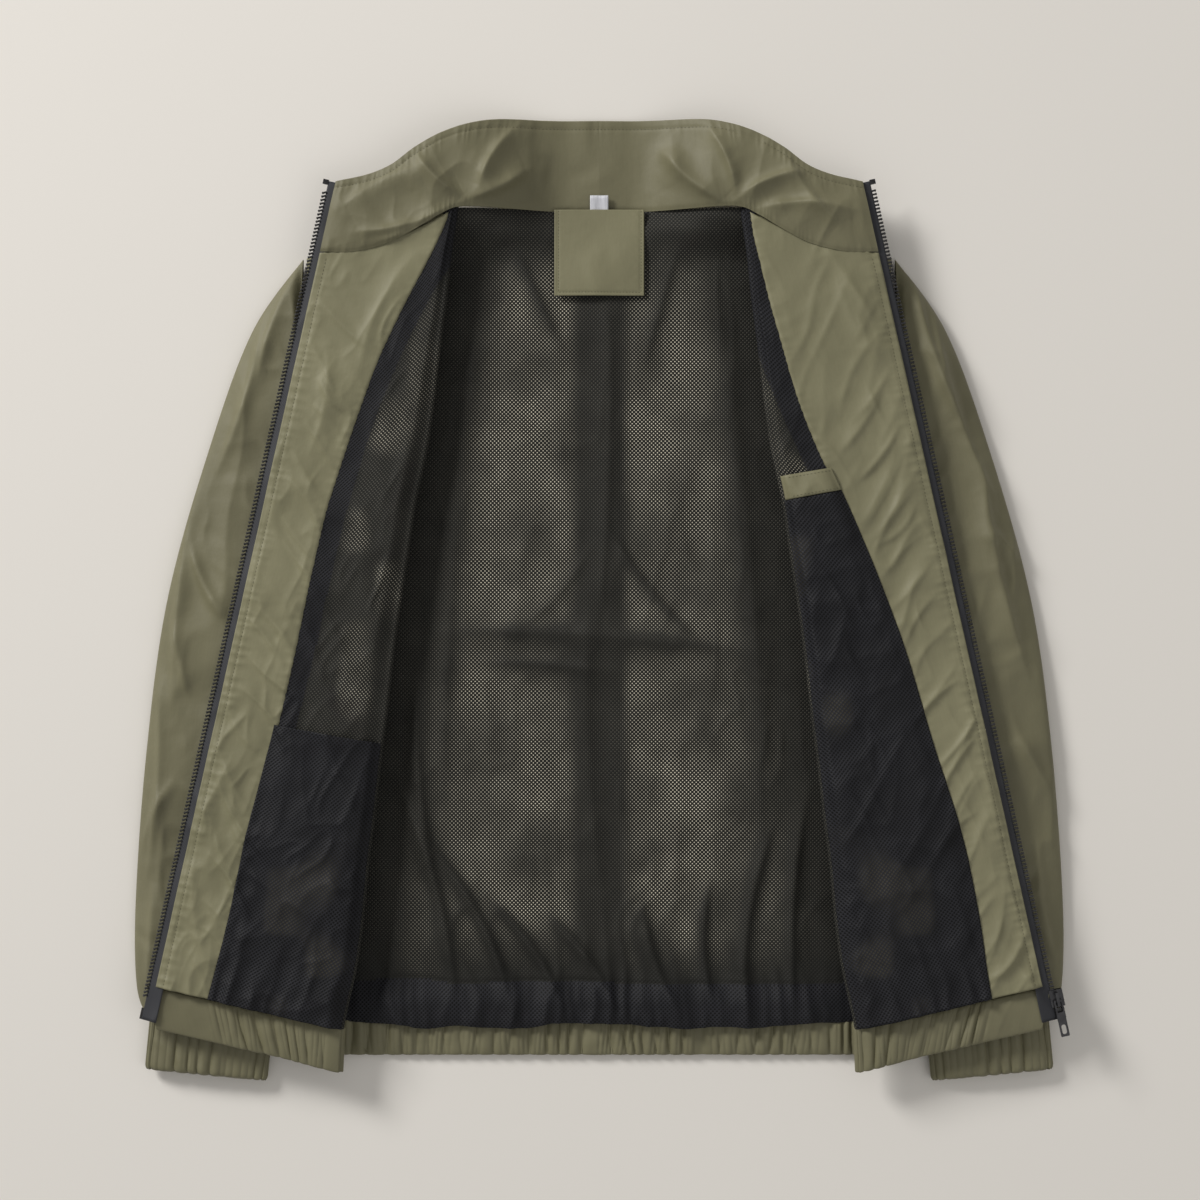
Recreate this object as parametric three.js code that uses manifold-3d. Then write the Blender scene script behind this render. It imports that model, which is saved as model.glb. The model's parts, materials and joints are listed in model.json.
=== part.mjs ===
// A lightweight zip-front jacket, lying on its back with both fronts folded open.
// Olive shell, mesh lining, stand collar, elastic hem and cuffs, separable moulded zip.
// Millimetres. +X points to the wearer's left, +Y to the collar, +Z up from the surface it lies on.
// "left" and "right" in the names are the wearer's.

import * as THREE from "three";
import { mergeVertices } from "three/addons/utils/BufferGeometryUtils.js";
import Module from "manifold-3d";

const wasm = await Module();
wasm.setup();

// ---- Driving dimensions ----

// Body, as half widths from the centre back and heights along it.
const backLength = 697; // from the neck seam to the bottom of the hem, at the centre back
const hemHeight = 29;
const hemHalfWidth = 246; // the elastic hem, relaxed
const chestHalfWidth = 250; // at the armpit
const armpitDrop = 262; // from the neck seam down to the armpit
const shoulderHalfWidth = 237;
const shoulderDrop = 40;
const armholeDepth = 16; // how far the armhole curves in from the armpit's width
const neckHalfWidth = 115; // where the fold of each front meets the neck seam
const foldHalfWidthAtHem = 210;

// The zip's edge of each open front, at its two ends.
const zipHalfWidthTop = 222;
const zipHalfWidthBottom = 375;
const zipTopRise = 22; // above the neck seam
const zipBottomRise = 33; // above the bottom of the back hem

// Collar.
const collarHeight = 73;
const collarTopDrop = 6; // the top edge falls this much between the centre and the fold
const collarEndHeight = 60; // along the zip
const neckSeamRise = 4; // from the centre back to the fold
const wingShoulder = 38; // the straight run of the top edge beside the zip

// Fronts.
const leftFacingWidth = 48;
const rightFacingWidth = 60;
const facingTopWidth = 112;
const frontHemHeight = 36;
const frontHemDrop = 7; // the hem reaches this far below the zip's end
const frontHemTab = 52; // the flat tab beside the zip that holds no elastic
const hemClear = 2; // between the front's hem and a side that stands higher
const leftPocketDrop = 232; // from the neck seam to the pocket's mouth
const rightPocketDrop = 424;
const pocketMouthSlope = 0.17;
const bindingHeight = 17;
const bagRim = 3;
const weltLength = 165;
const weltWidth = 24;
const weltRise = 75; // the lower end of a hand pocket's welt above the hem
const weltOutLow = 37.8; // from the fold to the welt at its lower and upper end
const weltOutHigh = 53.9;
const bagDepth = 5.2; // the free space inside a pocket as it lies

// Sleeves.
const cuffLength = 39;
const cuffWidth = 101;
const cuffTurn = 0.097; // radians that each cuff turns in towards the hem
const sleeveThickness = 16; // the flattened sleeve
const sleeveTilt = 6.5; // the inner edge of a sleeve climbs this far over the body's side
const elasticWidth = 25;
const elasticThickness = 1.4;

// Cloth and layers.
const cloth = 1.2; // one ply with its turnings
const gap = 0.6; // between pieces that are sewn edge to edge
const liningLift = 3; // underside of the back lining
const sideLift = 7; // underside of the side of each front, above the back lining
const frontLift = 24; // underside of an open front, above the sleeve
const plySpace = 1.8; // between the two plies of a front
const foldClear = 3; // from the fold line to the nearest edge of a front

// Neck flap and label.
const flapWidth = 73;
const flapHeight = 71;
const flapLift = 7;
const labelWidth = 15;
const labelHeight = 24;
const labelShow = 11; // how much stands above the flap

// Zip.
const tapeWidth = 14.4;
const tapeThickness = 0.8;
const tapeShow = 7; // from the zip line back to the edge of the cloth
const toothPitch = 3;
const toothWidth = 1.7;
const toothReach = 2.4;
const beadWidth = 2.2;
const chainThickness = 2.4;
const chainClear = 0.6;
const chainInset = 1.2; // the bead starts this far inside the zip line
const boxHeight = 9;
const stopLength = 4;
const filmHeight = 18;
const filmThickness = 0.5;
const sliderLength = 14;
const sliderWidth = 11;
const sliderPlate = 1.4;
const bailHeight = 4.1; // the tunnel under the bail
const pullBar = 1.6;
const pullWidth = 7;
const pullWindow = 9.5;
const pullTab = 9;
const pullEye = 11;

// ---- Places that follow from them ----

const neckY = 0;
const hemY = -backLength;
const hemSeamY = hemY + hemHeight;
const armpitY = -armpitDrop;
const zipTop = new THREE.Vector2(zipHalfWidthTop, neckY + zipTopRise);
const zipBottom = new THREE.Vector2(zipHalfWidthBottom, hemY + zipBottomRise);
const zipLength = zipTop.distanceTo(zipBottom);
const zipAngle = Math.atan2(zipHalfWidthBottom - zipHalfWidthTop, zipTop.y - zipBottom.y);
const foldSlope = (foldHalfWidthAtHem - neckHalfWidth) / (neckY - hemY);
const tapeZ = frontLift + cloth + (plySpace - tapeThickness) / 2;
const chainZ = tapeZ + tapeThickness / 2;
const topPlyZ = frontLift + cloth + plySpace;
const hemThickness = 6.4;
const frontHemZ = topPlyZ + cloth - hemThickness;

// The fold of a front at height y, moved out sideways by clear.
const foldX = (y, clear = 0) => neckHalfWidth + (neckY - y) * foldSlope + clear;

// A point given along the zip from its bottom end and out from its line.
function byZip(along, out) {
  const up = new THREE.Vector2(-Math.sin(zipAngle), Math.cos(zipAngle));
  return zipBottom.clone().addScaledVector(up, along).add(new THREE.Vector2(up.y, -up.x).multiplyScalar(out));
}

// Where the line across the zip at that height meets the fold, moved out sideways by clear.
function foldByZip(along, clear = 0) {
  const start = byZip(along, 0);
  const slope = Math.tan(zipAngle);
  const x = (foldX(start.y, clear) + foldSlope * slope * start.x) / (1 + foldSlope * slope);
  return new THREE.Vector2(x, start.y - slope * (start.x - x));
}

const frontHemTop = frontHemHeight - frontHemDrop;
const neckSeamAtZip = zipLength - collarEndHeight;

// ---- Materials ----

const looks = {
  shell: { color: 0x807b60, roughness: 0.55, metalness: 0 },
  lining: { color: 0x1e1e21, roughness: 0.8, metalness: 0 },
  tape: { color: 0x1d2027, roughness: 0.75, metalness: 0 },
  moulding: { color: 0x101012, roughness: 0.3, metalness: 0 },
  metal: { color: 0x141416, roughness: 0.35, metalness: 0.9 },
  elastic: { color: 0xe6e2d8, roughness: 0.9, metalness: 0 },
  label: { color: 0xe8e8ec, roughness: 0.5, metalness: 0 },
};

// ---- Helpers ----

function piece(name, geometry, look) {
  const mesh = new THREE.Mesh(geometry, new THREE.MeshStandardMaterial(looks[look]));
  mesh.name = name;
  return mesh;
}

// A flat ply of cloth or a flat plate, from its outline and its underside.
function ply(outline, z, thickness = cloth, holes = []) {
  const shape = new THREE.Shape(outline);
  shape.holes = holes.map((points) => new THREE.Path(points));
  return new THREE.ExtrudeGeometry(shape, { depth: thickness, bevelEnabled: false }).translate(0, 0, z);
}

// Points along a smooth curve through the given ones.
const smooth = (points, steps) => new THREE.SplineCurve(points).getPoints(steps);

// A box of cloth whose (u, v) in 0..1 are placed by a function that gives a point on its underside.
function draped(across, along, thickness, place) {
  const geometry = new THREE.BoxGeometry(1, 1, 1, across, along, 1).translate(0.5, 0.5, 0.5);
  const position = geometry.getAttribute("position");
  for (let i = 0; i < position.count; i++) {
    const p = place(position.getX(i), position.getY(i));
    position.setXYZ(i, p.x, p.y, p.z + position.getZ(i) * thickness);
  }
  return geometry;
}

// A flattened tube turned from a closed profile of [depth inside the outer surface, distance down],
// placed by a function of (angle, depth, distance down).
const turningRadius = 100; // any radius deeper than the walls
function flattened(profile, around, place) {
  const points = profile.map(([depth, down]) => new THREE.Vector2(turningRadius - depth, down)).reverse();
  const geometry = new THREE.LatheGeometry([...points, points[0]], around);
  const position = geometry.getAttribute("position");
  for (let i = 0; i < position.count; i++) {
    const [x, z] = [position.getX(i), position.getZ(i)];
    const p = place(Math.atan2(z, x), turningRadius - Math.hypot(x, z), position.getY(i));
    position.setXYZ(i, p.x, p.y, p.z);
  }
  return geometry;
}

// The outer and inner walls of a tube's profile, with steps along it.
function tubeProfile(wall, steps) {
  const down = Array.from({ length: steps + 1 }, (_, i) => i / steps);
  return [...down.map((s) => [0, s]), ...down.reverse().map((s) => [wall, s])];
}

function solid(geometry) {
  const bare = geometry.clone();
  bare.deleteAttribute("normal");
  bare.deleteAttribute("uv");
  const merged = mergeVertices(bare, 1e-3);
  return new wasm.Manifold(
    new wasm.Mesh({
      numProp: 3,
      vertProperties: new Float32Array(merged.attributes.position.array),
      triVerts: new Uint32Array(merged.index.array),
    }),
  );
}

function geometryOf(manifold) {
  const mesh = manifold.getMesh();
  return new THREE.BufferGeometry()
    .setAttribute("position", new THREE.BufferAttribute(mesh.vertProperties, 3))
    .setIndex(new THREE.BufferAttribute(mesh.triVerts, 1));
}

const block = (x, y, z, size) => new THREE.BoxGeometry(...size).translate(x, y, z);

// ---- Body ----

// The armhole of the body, from the armpit up to the shoulder's tip.
function armhole(steps) {
  return smooth(
    [
      new THREE.Vector2(chestHalfWidth, armpitY),
      new THREE.Vector2(chestHalfWidth - armholeDepth, armpitY + 60),
      new THREE.Vector2(shoulderHalfWidth - 1, armpitY + 140),
      new THREE.Vector2(shoulderHalfWidth, neckY - shoulderDrop),
    ],
    steps,
  );
}

// Half of the back's outline, from the hem up the side and along the shoulder.
function backHalf(inset) {
  const side = [
    new THREE.Vector2(hemHalfWidth - inset, hemSeamY + gap),
    new THREE.Vector2(chestHalfWidth - inset, armpitY - 80),
  ];
  const hole = armhole(8).map((p) => new THREE.Vector2(p.x - inset, p.y));
  return [...side, ...hole, new THREE.Vector2(neckHalfWidth, neckY - 3 - inset)];
}

function backOutline(inset) {
  const half = backHalf(inset);
  const mirrored = half.map((p) => new THREE.Vector2(-p.x, p.y)).reverse();
  return [...half, new THREE.Vector2(0, neckY - gap - 1), ...mirrored];
}

// The side of a front, outer face up, climbing from the side seam to the fold.
function sideShell() {
  const hole = new THREE.SplineCurve([
    new THREE.Vector2(hemHalfWidth, hemSeamY + gap),
    new THREE.Vector2(chestHalfWidth, armpitY - 100),
    new THREE.Vector2(chestHalfWidth - 2, armpitY),
    new THREE.Vector2(shoulderHalfWidth - 4, armpitY + 100),
    new THREE.Vector2(shoulderHalfWidth, neckY - shoulderDrop),
  ]);
  return draped(6, 12, cloth, (u, v) => {
    const outer = hole.getPoint(v);
    const y = outer.y + (1 - u) * v * v * (shoulderDrop - 14);
    const x = THREE.MathUtils.lerp(foldX(y, foldClear), outer.x, u);
    const climb = 1 - THREE.MathUtils.smoothstep(u, 0.05, 0.62);
    const z = sideLift + climb * (frontLift - sideLift - cloth - gap);
    // Where the front's hem lies over it, the side stays below that.
    const underHem = y < foldByZip(frontHemTop + hemClear, x - foldX(y)).y;
    return new THREE.Vector3(x, y, underHem ? Math.min(z, frontHemZ - gap - cloth) : z);
  });
}

// The short run of hem between the side seam and the fold.
function sideHem() {
  const foldEnd = foldX(hemY, foldClear);
  const low = sideLift + cloth + gap;
  const high = frontHemZ - gap - cloth * 2;
  return draped(4, 2, cloth * 2, (u, v) => {
    const x = THREE.MathUtils.lerp(foldEnd, hemHalfWidth, u);
    const z = THREE.MathUtils.lerp(high, low, THREE.MathUtils.smoothstep(u, 0, 1));
    return new THREE.Vector3(x, hemY + v * (hemHeight - gap), z);
  });
}

// A hem casing: a flat tube of cloth along X, open at its ends.
function casing(height, length) {
  const [h, t] = [height, hemThickness];
  const ring = (d) => [
    new THREE.Vector2(d, d + 1),
    new THREE.Vector2(d + 1, d),
    new THREE.Vector2(h - d - 1, d),
    new THREE.Vector2(h - d, d + 1),
    new THREE.Vector2(h - d, t - d - 1),
    new THREE.Vector2(h - d - 1, t - d),
    new THREE.Vector2(d + 1, t - d),
    new THREE.Vector2(d, t - d - 1),
  ];
  const shape = new THREE.Shape(ring(0));
  shape.holes = [new THREE.Path(ring(cloth))];
  const geometry = new THREE.ExtrudeGeometry(shape, { depth: length, bevelEnabled: false });
  // The section's height runs along Y and its thickness along Z.
  return geometry.applyMatrix4(new THREE.Matrix4().makeBasis(
    new THREE.Vector3(0, 1, 0), new THREE.Vector3(0, 0, 1), new THREE.Vector3(1, 0, 0)));
}

function body() {
  const group = new THREE.Group();
  group.add(piece("back_shell", ply(backOutline(0), 0), "shell"));
  group.add(piece("back_lining", ply(backOutline(3), liningLift), "lining"));
  const hem = piece("back_hem_casing", casing(hemHeight, 2 * hemHalfWidth), "shell");
  hem.position.set(-hemHalfWidth, hemY, 0);
  group.add(hem);
  const band = [2 * hemHalfWidth - 4, elasticWidth, elasticThickness];
  group.add(piece("back_hem_elastic", block(0, hemY + hemHeight / 2, hemThickness / 2, band), "elastic"));
  return group;
}

function side(name) {
  const group = new THREE.Group();
  group.add(piece(`${name}_side_shell`, sideShell(), "shell"));
  group.add(piece(`${name}_side_hem`, sideHem(), "shell"));
  return group;
}

// ---- Collar ----

// The neck seam and the top edge of the collar across the back, at x.
const neckSeamY = (x) => neckY + neckSeamRise * (x / neckHalfWidth) ** 2;
const collarTopY = (x) => neckY + collarHeight - collarTopDrop * (x / neckHalfWidth) ** 2;

// The back of the collar lies on the surface and climbs towards the fronts at both ends.
const collarClimb = frontLift - cloth * 2 - plySpace - foldClear;
function collarBack(lift) {
  return draped(18, 3, cloth, (u, v) => {
    const seam = THREE.MathUtils.lerp(-1, 1, u) * neckHalfWidth;
    const climb = THREE.MathUtils.smoothstep(Math.abs(seam) / neckHalfWidth, 0.25, 1);
    const y = THREE.MathUtils.lerp(neckSeamY(seam) + gap, collarTopY(seam), v);
    const half = foldX(y, -foldClear) / neckHalfWidth;
    return new THREE.Vector3(seam * half, y, lift + climb * collarClimb);
  });
}

function collar() {
  const group = new THREE.Group();
  group.add(piece("back_collar_outer", collarBack(0), "shell"));
  group.add(piece("back_collar_inner", collarBack(cloth + plySpace), "shell"));
  return group;
}

function label() {
  const y = neckSeamY(0) + labelShow - labelHeight / 2;
  const size = [labelWidth, labelHeight, cloth];
  return piece("size_label", block(0, y, cloth * 3 + plySpace, size), "label");
}

function neckFlap() {
  const half = flapWidth / 2;
  const top = neckY;
  const outline = [
    new THREE.Vector2(-half, top),
    new THREE.Vector2(-half + 1.5, top - flapHeight),
    new THREE.Vector2(half + 1, top - flapHeight),
    new THREE.Vector2(half, top),
  ];
  return piece("neck_flap", ply(outline.reverse(), flapLift, cloth), "shell");
}

// ---- Fronts ----

// The seam between a front and its collar, from the zip back to the fold.
function neckSeam(inset, out, steps) {
  const start = byZip(neckSeamAtZip - inset, out);
  const end = new THREE.Vector2(foldX(neckY, foldClear), neckY + 1 - inset);
  const middle = start.clone().lerp(end, 0.5).add(new THREE.Vector2(0, -6));
  return smooth([start, middle, end], steps);
}

// The seam between facing and lining, from the hem up to the neck, out by gapOut.
function facingSeam(width, gapOut, steps) {
  const top = byZip(neckSeamAtZip, -facingTopWidth + gapOut);
  return smooth(
    [
      byZip(frontHemTop + gap, -tapeShow - width + gapOut),
      byZip(neckSeamAtZip * 0.5, -tapeShow - width + gapOut),
      byZip(neckSeamAtZip * 0.78, -tapeShow - width * 1.45 + gapOut),
      new THREE.Vector2(Math.max(top.x, foldX(top.y, foldClear + 2) + gapOut), neckY - 26),
    ],
    steps,
  );
}

function frontShell() {
  const outline = [
    foldByZip(frontHemTop + gap, foldClear),
    byZip(frontHemTop + gap, -tapeShow),
    ...neckSeam(gap, -tapeShow, 6),
  ];
  return ply(outline, frontLift);
}

function facing(width) {
  const seam = facingSeam(width, 0, 10).reverse();
  const outline = [byZip(frontHemTop + gap, -tapeShow), ...neckSeam(gap, -tapeShow, 6), ...seam];
  return ply(outline, topPlyZ);
}

function frontLining(width) {
  const seam = facingSeam(width, -gap, 10);
  const top = seam[seam.length - 1];
  const outline = [foldByZip(frontHemTop + gap, foldClear), ...seam, new THREE.Vector2(foldX(top.y, foldClear), top.y)];
  return ply(outline, topPlyZ);
}

// The four corners of a pocket's bag, drawn in by inset at the sides and the bottom.
function bagCorners(drop, width, inset, above = 0) {
  const outBottom = byZip(frontHemTop + gap + inset, -tapeShow - width - gap - inset);
  const inBottom = foldByZip(frontHemTop + gap + inset, foldClear + 1 + inset);
  const seam = facingSeam(width, -gap - inset, 40);
  const mouthY = neckY - drop + above;
  const outTop = seam.reduce((a, b) => (Math.abs(b.y - mouthY) < Math.abs(a.y - mouthY) ? b : a));
  const inX = foldX(mouthY, foldClear + 1 + inset);
  const inTop = new THREE.Vector2(inX, outTop.y - pocketMouthSlope * (outTop.x - inX));
  const rise = seam.filter((p) => p.y > outBottom.y + 20 && p.y < outTop.y - 20).filter((_, i) => i % 5 === 2);
  return [inBottom, outBottom, ...rise, outTop, inTop];
}

// A pocket: a roof of mesh with a rim down to the lining at its sides and bottom, open at the mouth.
function pocketBag(drop, width) {
  const bottom = topPlyZ + cloth + gap;
  const height = bagDepth + cloth;
  const outer = solid(ply(bagCorners(drop, width, 0), bottom, height));
  const inner = solid(ply(bagCorners(drop, width, bagRim, 30), bottom - 5, bagDepth + 5));
  return geometryOf(outer.subtract(inner));
}

function pocketBinding(drop, width) {
  const corners = bagCorners(drop, width, 0);
  const [outTop, inTop] = corners.slice(-2);
  const lift = new THREE.Vector2(0, gap);
  const rise = new THREE.Vector2(0, bindingHeight);
  const low = [inTop.clone().add(lift), outTop.clone().add(lift)];
  const high = [outTop.clone().add(rise).add(new THREE.Vector2(-4, 0)), inTop.clone().add(rise).add(new THREE.Vector2(-2, 0))];
  return ply([...low, ...high], topPlyZ + cloth + gap + bagDepth);
}

// The welt of the hand pocket, on the outer face of a front.
function handWelt() {
  const low = frontHemTop + weltRise;
  const corner = (along, out) => foldByZip(along).addScaledVector(byZip(0, 1).sub(zipBottom), out);
  const outline = [
    corner(low, weltOutLow - weltWidth / 2),
    corner(low, weltOutLow + weltWidth / 2),
    corner(low + weltLength, weltOutHigh + weltWidth / 2),
    corner(low + weltLength, weltOutHigh - weltWidth / 2),
  ];
  return ply(outline, frontLift - gap - cloth);
}

// The wing of the collar on a front, between the fold and the zip.
function collarWing(lift) {
  const top = collarTopY(neckHalfWidth);
  const fold = new THREE.Vector2(foldX(top, foldClear), top);
  const seamEnd = new THREE.Vector2(foldX(neckSeamY(neckHalfWidth), foldClear), neckSeamY(neckHalfWidth) + gap);
  const corner = byZip(zipLength, -tapeShow);
  const shoulder = new THREE.Vector2(corner.x - wingShoulder, corner.y + 2);
  const edge = smooth([shoulder, new THREE.Vector2(shoulder.x - 32, shoulder.y + 24), fold], 6);
  const seam = neckSeam(-gap, -tapeShow, 6).slice(0, -1).reverse();
  return ply([corner, ...edge, seamEnd, ...seam], lift);
}

// The front's hem, in a group that lies along the line across the zip.
function frontHem(name) {
  const group = new THREE.Group();
  const start = foldByZip(-frontHemDrop, foldClear);
  const low = foldByZip(frontHemTop, foldClear);
  const end = byZip(-frontHemDrop, -tapeShow);
  const length = end.distanceTo(start) - Math.max(0, (low.x - start.x) / Math.cos(zipAngle));
  const turned = new THREE.Group();
  turned.position.set(end.x, end.y, frontHemZ);
  turned.rotation.z = zipAngle;
  const slotReach = tapeWidth + chainInset - tapeShow + gap * 2;
  const slot = block(length, frontHemHeight, tapeZ + tapeThickness / 2 - frontHemZ, [slotReach * 2, 4, tapeThickness + gap]);
  const slotted = geometryOf(solid(casing(frontHemHeight, length)).subtract(solid(slot)));
  const tube = piece(`${name}_front_hem_casing`, slotted, "shell");
  tube.position.x = -length;
  turned.add(tube);
  const bandLength = length - frontHemTab;
  const band = [bandLength, elasticWidth, elasticThickness];
  const middle = -frontHemTab - bandLength / 2 + 1;
  turned.add(piece(`${name}_front_hem_elastic`, block(middle, frontHemHeight / 2, hemThickness / 2, band), "elastic"));
  group.add(turned);
  return group;
}

function front(name, facingWidth, pocketDrop) {
  const group = new THREE.Group();
  group.add(piece(`${name}_front_shell`, frontShell(), "shell"));
  group.add(piece(`${name}_front_facing`, facing(facingWidth), "shell"));
  group.add(piece(`${name}_front_lining`, frontLining(facingWidth), "lining"));
  group.add(piece(`${name}_pocket_bag`, pocketBag(pocketDrop, facingWidth), "lining"));
  group.add(piece(`${name}_hand_welt`, handWelt(), "shell"));
  group.add(piece(`${name}_collar_outer`, collarWing(frontLift), "shell"));
  group.add(piece(`${name}_collar_inner`, collarWing(topPlyZ), "shell"));
  group.add(frontHem(name));
  return group;
}

// ---- Zip, in a group whose +Y runs up the zip and whose +X points out from its line ----

// A bar in rows along the zip, each as wide as the bead or as a tooth, so that no facet runs the zip's length.
function chain() {
  const start = boxHeight + 0.4;
  const teeth = Math.floor((zipLength - stopLength - gap - start - 2) / toothPitch);
  const tip = beadWidth + toothReach;
  const rows = [[start, beadWidth]];
  for (let i = 0; i < teeth; i++) {
    const y = start + 0.5 + i * toothPitch;
    rows.push([y, beadWidth], [y + 0.2, tip], [y + toothWidth - 0.2, tip], [y + toothWidth, beadWidth]);
  }
  rows.push([start + teeth * toothPitch, beadWidth]);
  return draped(1, rows.length - 1, chainThickness, (u, v) => {
    const [y, width] = rows[Math.round(v * (rows.length - 1))];
    return new THREE.Vector3(u * width - chainInset, y, chainZ - chainThickness / 2);
  });
}

function tape() {
  const x = -chainInset - 0.4 - tapeWidth / 2;
  return block(x, zipLength / 2, chainZ, [tapeWidth, zipLength, tapeThickness]);
}

// The stiffening film over the tape's lower end, clear of the slider.
function film() {
  const near = meshLine - sliderWidth / 2 - gap;
  const width = tapeShow - gap + near;
  const z = tapeZ + tapeThickness + 0.3 + filmThickness / 2;
  return block(near - width / 2, filmHeight / 2, z, [width, filmHeight, filmThickness]);
}

function topStop() {
  const size = [beadWidth + toothReach, stopLength, chainThickness + 0.6];
  return block(beadWidth / 2 + toothReach / 2 - chainInset, zipLength - stopLength / 2, chainZ, size);
}

// The retainer box, with the socket that the other side's pin goes into.
function retainerBox() {
  const width = sliderWidth - 3;
  const size = [width, boxHeight, chainThickness + 2.6];
  const outer = solid(block(width / 2 - chainInset, boxHeight / 2, chainZ, size));
  const socket = [beadWidth + 0.8, boxHeight, chainThickness + 0.4];
  const inner = solid(block(width - beadWidth - chainInset + 0.2, boxHeight / 2 + 1.5, chainZ, socket));
  return geometryOf(outer.subtract(inner));
}

function pin() {
  const size = [beadWidth, boxHeight, chainThickness];
  return block(beadWidth / 2 - chainInset, boxHeight / 2, chainZ, size);
}

function zipSide(name) {
  const group = new THREE.Group();
  group.position.set(zipBottom.x, zipBottom.y, 0);
  group.rotation.z = zipAngle;
  group.add(piece(`${name}_zip_tape`, tape(), "tape"));
  group.add(piece(`${name}_zip_chain`, chain(), "moulding"));
  group.add(piece(`${name}_zip_film`, film(), "tape"));
  group.add(piece(`${name}_zip_top_stop`, topStop(), "moulding"));
  return group;
}

const sliderY = boxHeight + 0.9; // the slider's lower end as it rests above the box
const meshLine = beadWidth + toothReach - chainInset - 0.8; // where the teeth of a closed zip meet
const plateZ = chainZ + chainThickness / 2 + chainClear;

function slider() {
  const middle = sliderY + sliderLength / 2;
  const room = chainThickness / 2 + chainClear;
  const plate = [sliderWidth, sliderLength, sliderPlate];
  const upper = solid(block(meshLine, middle, chainZ + room + sliderPlate / 2, plate));
  const lower = solid(block(meshLine, middle, chainZ - room - sliderPlate / 2, plate));
  const lip = room - tapeThickness / 2 - 0.5;
  const edge = sliderWidth / 2 - 0.5;
  const lips = [-1, 1].flatMap((sideways) =>
    [-1, 1].map((up) =>
      solid(block(meshLine + sideways * edge, middle, chainZ + up * (room - lip / 2), [1, sliderLength, lip]))));
  const wedgeX = beadWidth + toothReach - chainInset + 1.6;
  const wedge = solid(block(wedgeX, sliderY + sliderLength - 3, chainZ, [2, 5, room * 2 + 0.2]));
  const bailTop = plateZ + sliderPlate + bailHeight + sliderPlate;
  const foot = [2.4, sliderPlate, bailHeight + sliderPlate];
  const bailMiddle = bailTop - foot[2] / 2 - 0.1;
  const ends = [sliderY + 1.5, sliderY + sliderLength - 2.5];
  const feet = ends.map((y) => solid(block(meshLine, y, bailMiddle - 0.1, [2.4, sliderPlate, foot[2] + 0.4])));
  const barLength = ends[1] - ends[0] + sliderPlate;
  const bar = solid(block(meshLine, (ends[0] + ends[1]) / 2, bailTop - sliderPlate / 2, [2.4, barLength, sliderPlate]));
  const parts = [lower, ...lips, wedge, ...feet, bar];
  return geometryOf(parts.reduce((a, b) => a.add(b), upper));
}

// The pull's bar lies in the tunnel under the bail; this is the hinge it turns on.
const pullY = sliderY + 5.1;
const pullZ = plateZ + sliderPlate + 2;

function roundedOutline(x, y0, y1, half, radius) {
  const shape = new THREE.Path();
  shape.moveTo(x - half + radius, y0);
  shape.absarc(x + half - radius, y0 + radius, radius, -Math.PI / 2, 0, false);
  shape.absarc(x + half - radius, y1 - radius, radius, 0, Math.PI / 2, false);
  shape.absarc(x - half + radius, y1 - radius, radius, Math.PI / 2, Math.PI, false);
  shape.absarc(x - half + radius, y0 + radius, radius, Math.PI, Math.PI * 1.5, false);
  return shape.getPoints(4).slice(1, -1);
}

function pull() {
  const top = pullY + pullBar / 2;
  const windowLow = pullY - pullWindow;
  const low = windowLow - pullTab - pullEye;
  const half = pullWidth / 2;
  const window = roundedOutline(meshLine, windowLow, top - pullBar, half - 1.2, 0.8).reverse();
  const eye = roundedOutline(meshLine, low + 1.8, low + pullEye - 1.2, half - 1.6, 1.8).reverse();
  return ply(roundedOutline(meshLine, low, top, half, 0.8), pullZ - pullBar / 2, pullBar, [window, eye]);
}

// ---- Sleeves ----

// The two edges of the left sleeve as it lies, from the armhole to the cuff's seam.
const cuffSeam = new THREE.Vector2(320, hemY + 25);
const cuffAcross = new THREE.Vector2(Math.cos(cuffTurn), Math.sin(cuffTurn));
const outerEdge = new THREE.SplineCurve([
  new THREE.Vector2(shoulderHalfWidth + 7, neckY - shoulderDrop - 1),
  new THREE.Vector2(286, -101),
  new THREE.Vector2(322, -199),
  new THREE.Vector2(356, -322),
  new THREE.Vector2(373, -445),
  new THREE.Vector2(382, -568),
  new THREE.Vector2(381, -640),
  cuffSeam.clone().addScaledVector(cuffAcross, cuffWidth / 2 + 1),
]);
const innerEdge = new THREE.SplineCurve([
  new THREE.Vector2(chestHalfWidth, armpitY + 2),
  new THREE.Vector2(chestHalfWidth - 10, armpitY - 20),
  new THREE.Vector2(chestHalfWidth - 18, armpitY - 45),
  new THREE.Vector2(chestHalfWidth - 22, armpitY - 85),
  new THREE.Vector2(236, -445),
  new THREE.Vector2(249, -557),
  new THREE.Vector2(260, -640),
  cuffSeam.clone().addScaledVector(cuffAcross, -cuffWidth / 2 - 1),
]);

function sleeve() {
  const halfHeight = sleeveThickness / 2;
  const sleeveSteps = 14;
  return flattened(tubeProfile(cloth, sleeveSteps), 20, (angle, depth, s) => {
    const outer = outerEdge.getPoint(s);
    const inner = innerEdge.getPoint(s);
    const centre = outer.clone().add(inner).multiplyScalar(0.5);
    const across = outer.clone().sub(inner);
    const half = across.length() / 2;
    across.normalize();
    const climb = 1 - THREE.MathUtils.smoothstep(s, 0.8, 1);
    const reach = (half - depth) * Math.cos(angle);
    const z = halfHeight + climb * (3 - sleeveTilt * Math.cos(angle)) + (halfHeight - depth) * Math.sin(angle);
    const p = centre.addScaledVector(across, reach);
    return new THREE.Vector3(p.x, p.y, z);
  });
}

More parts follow.
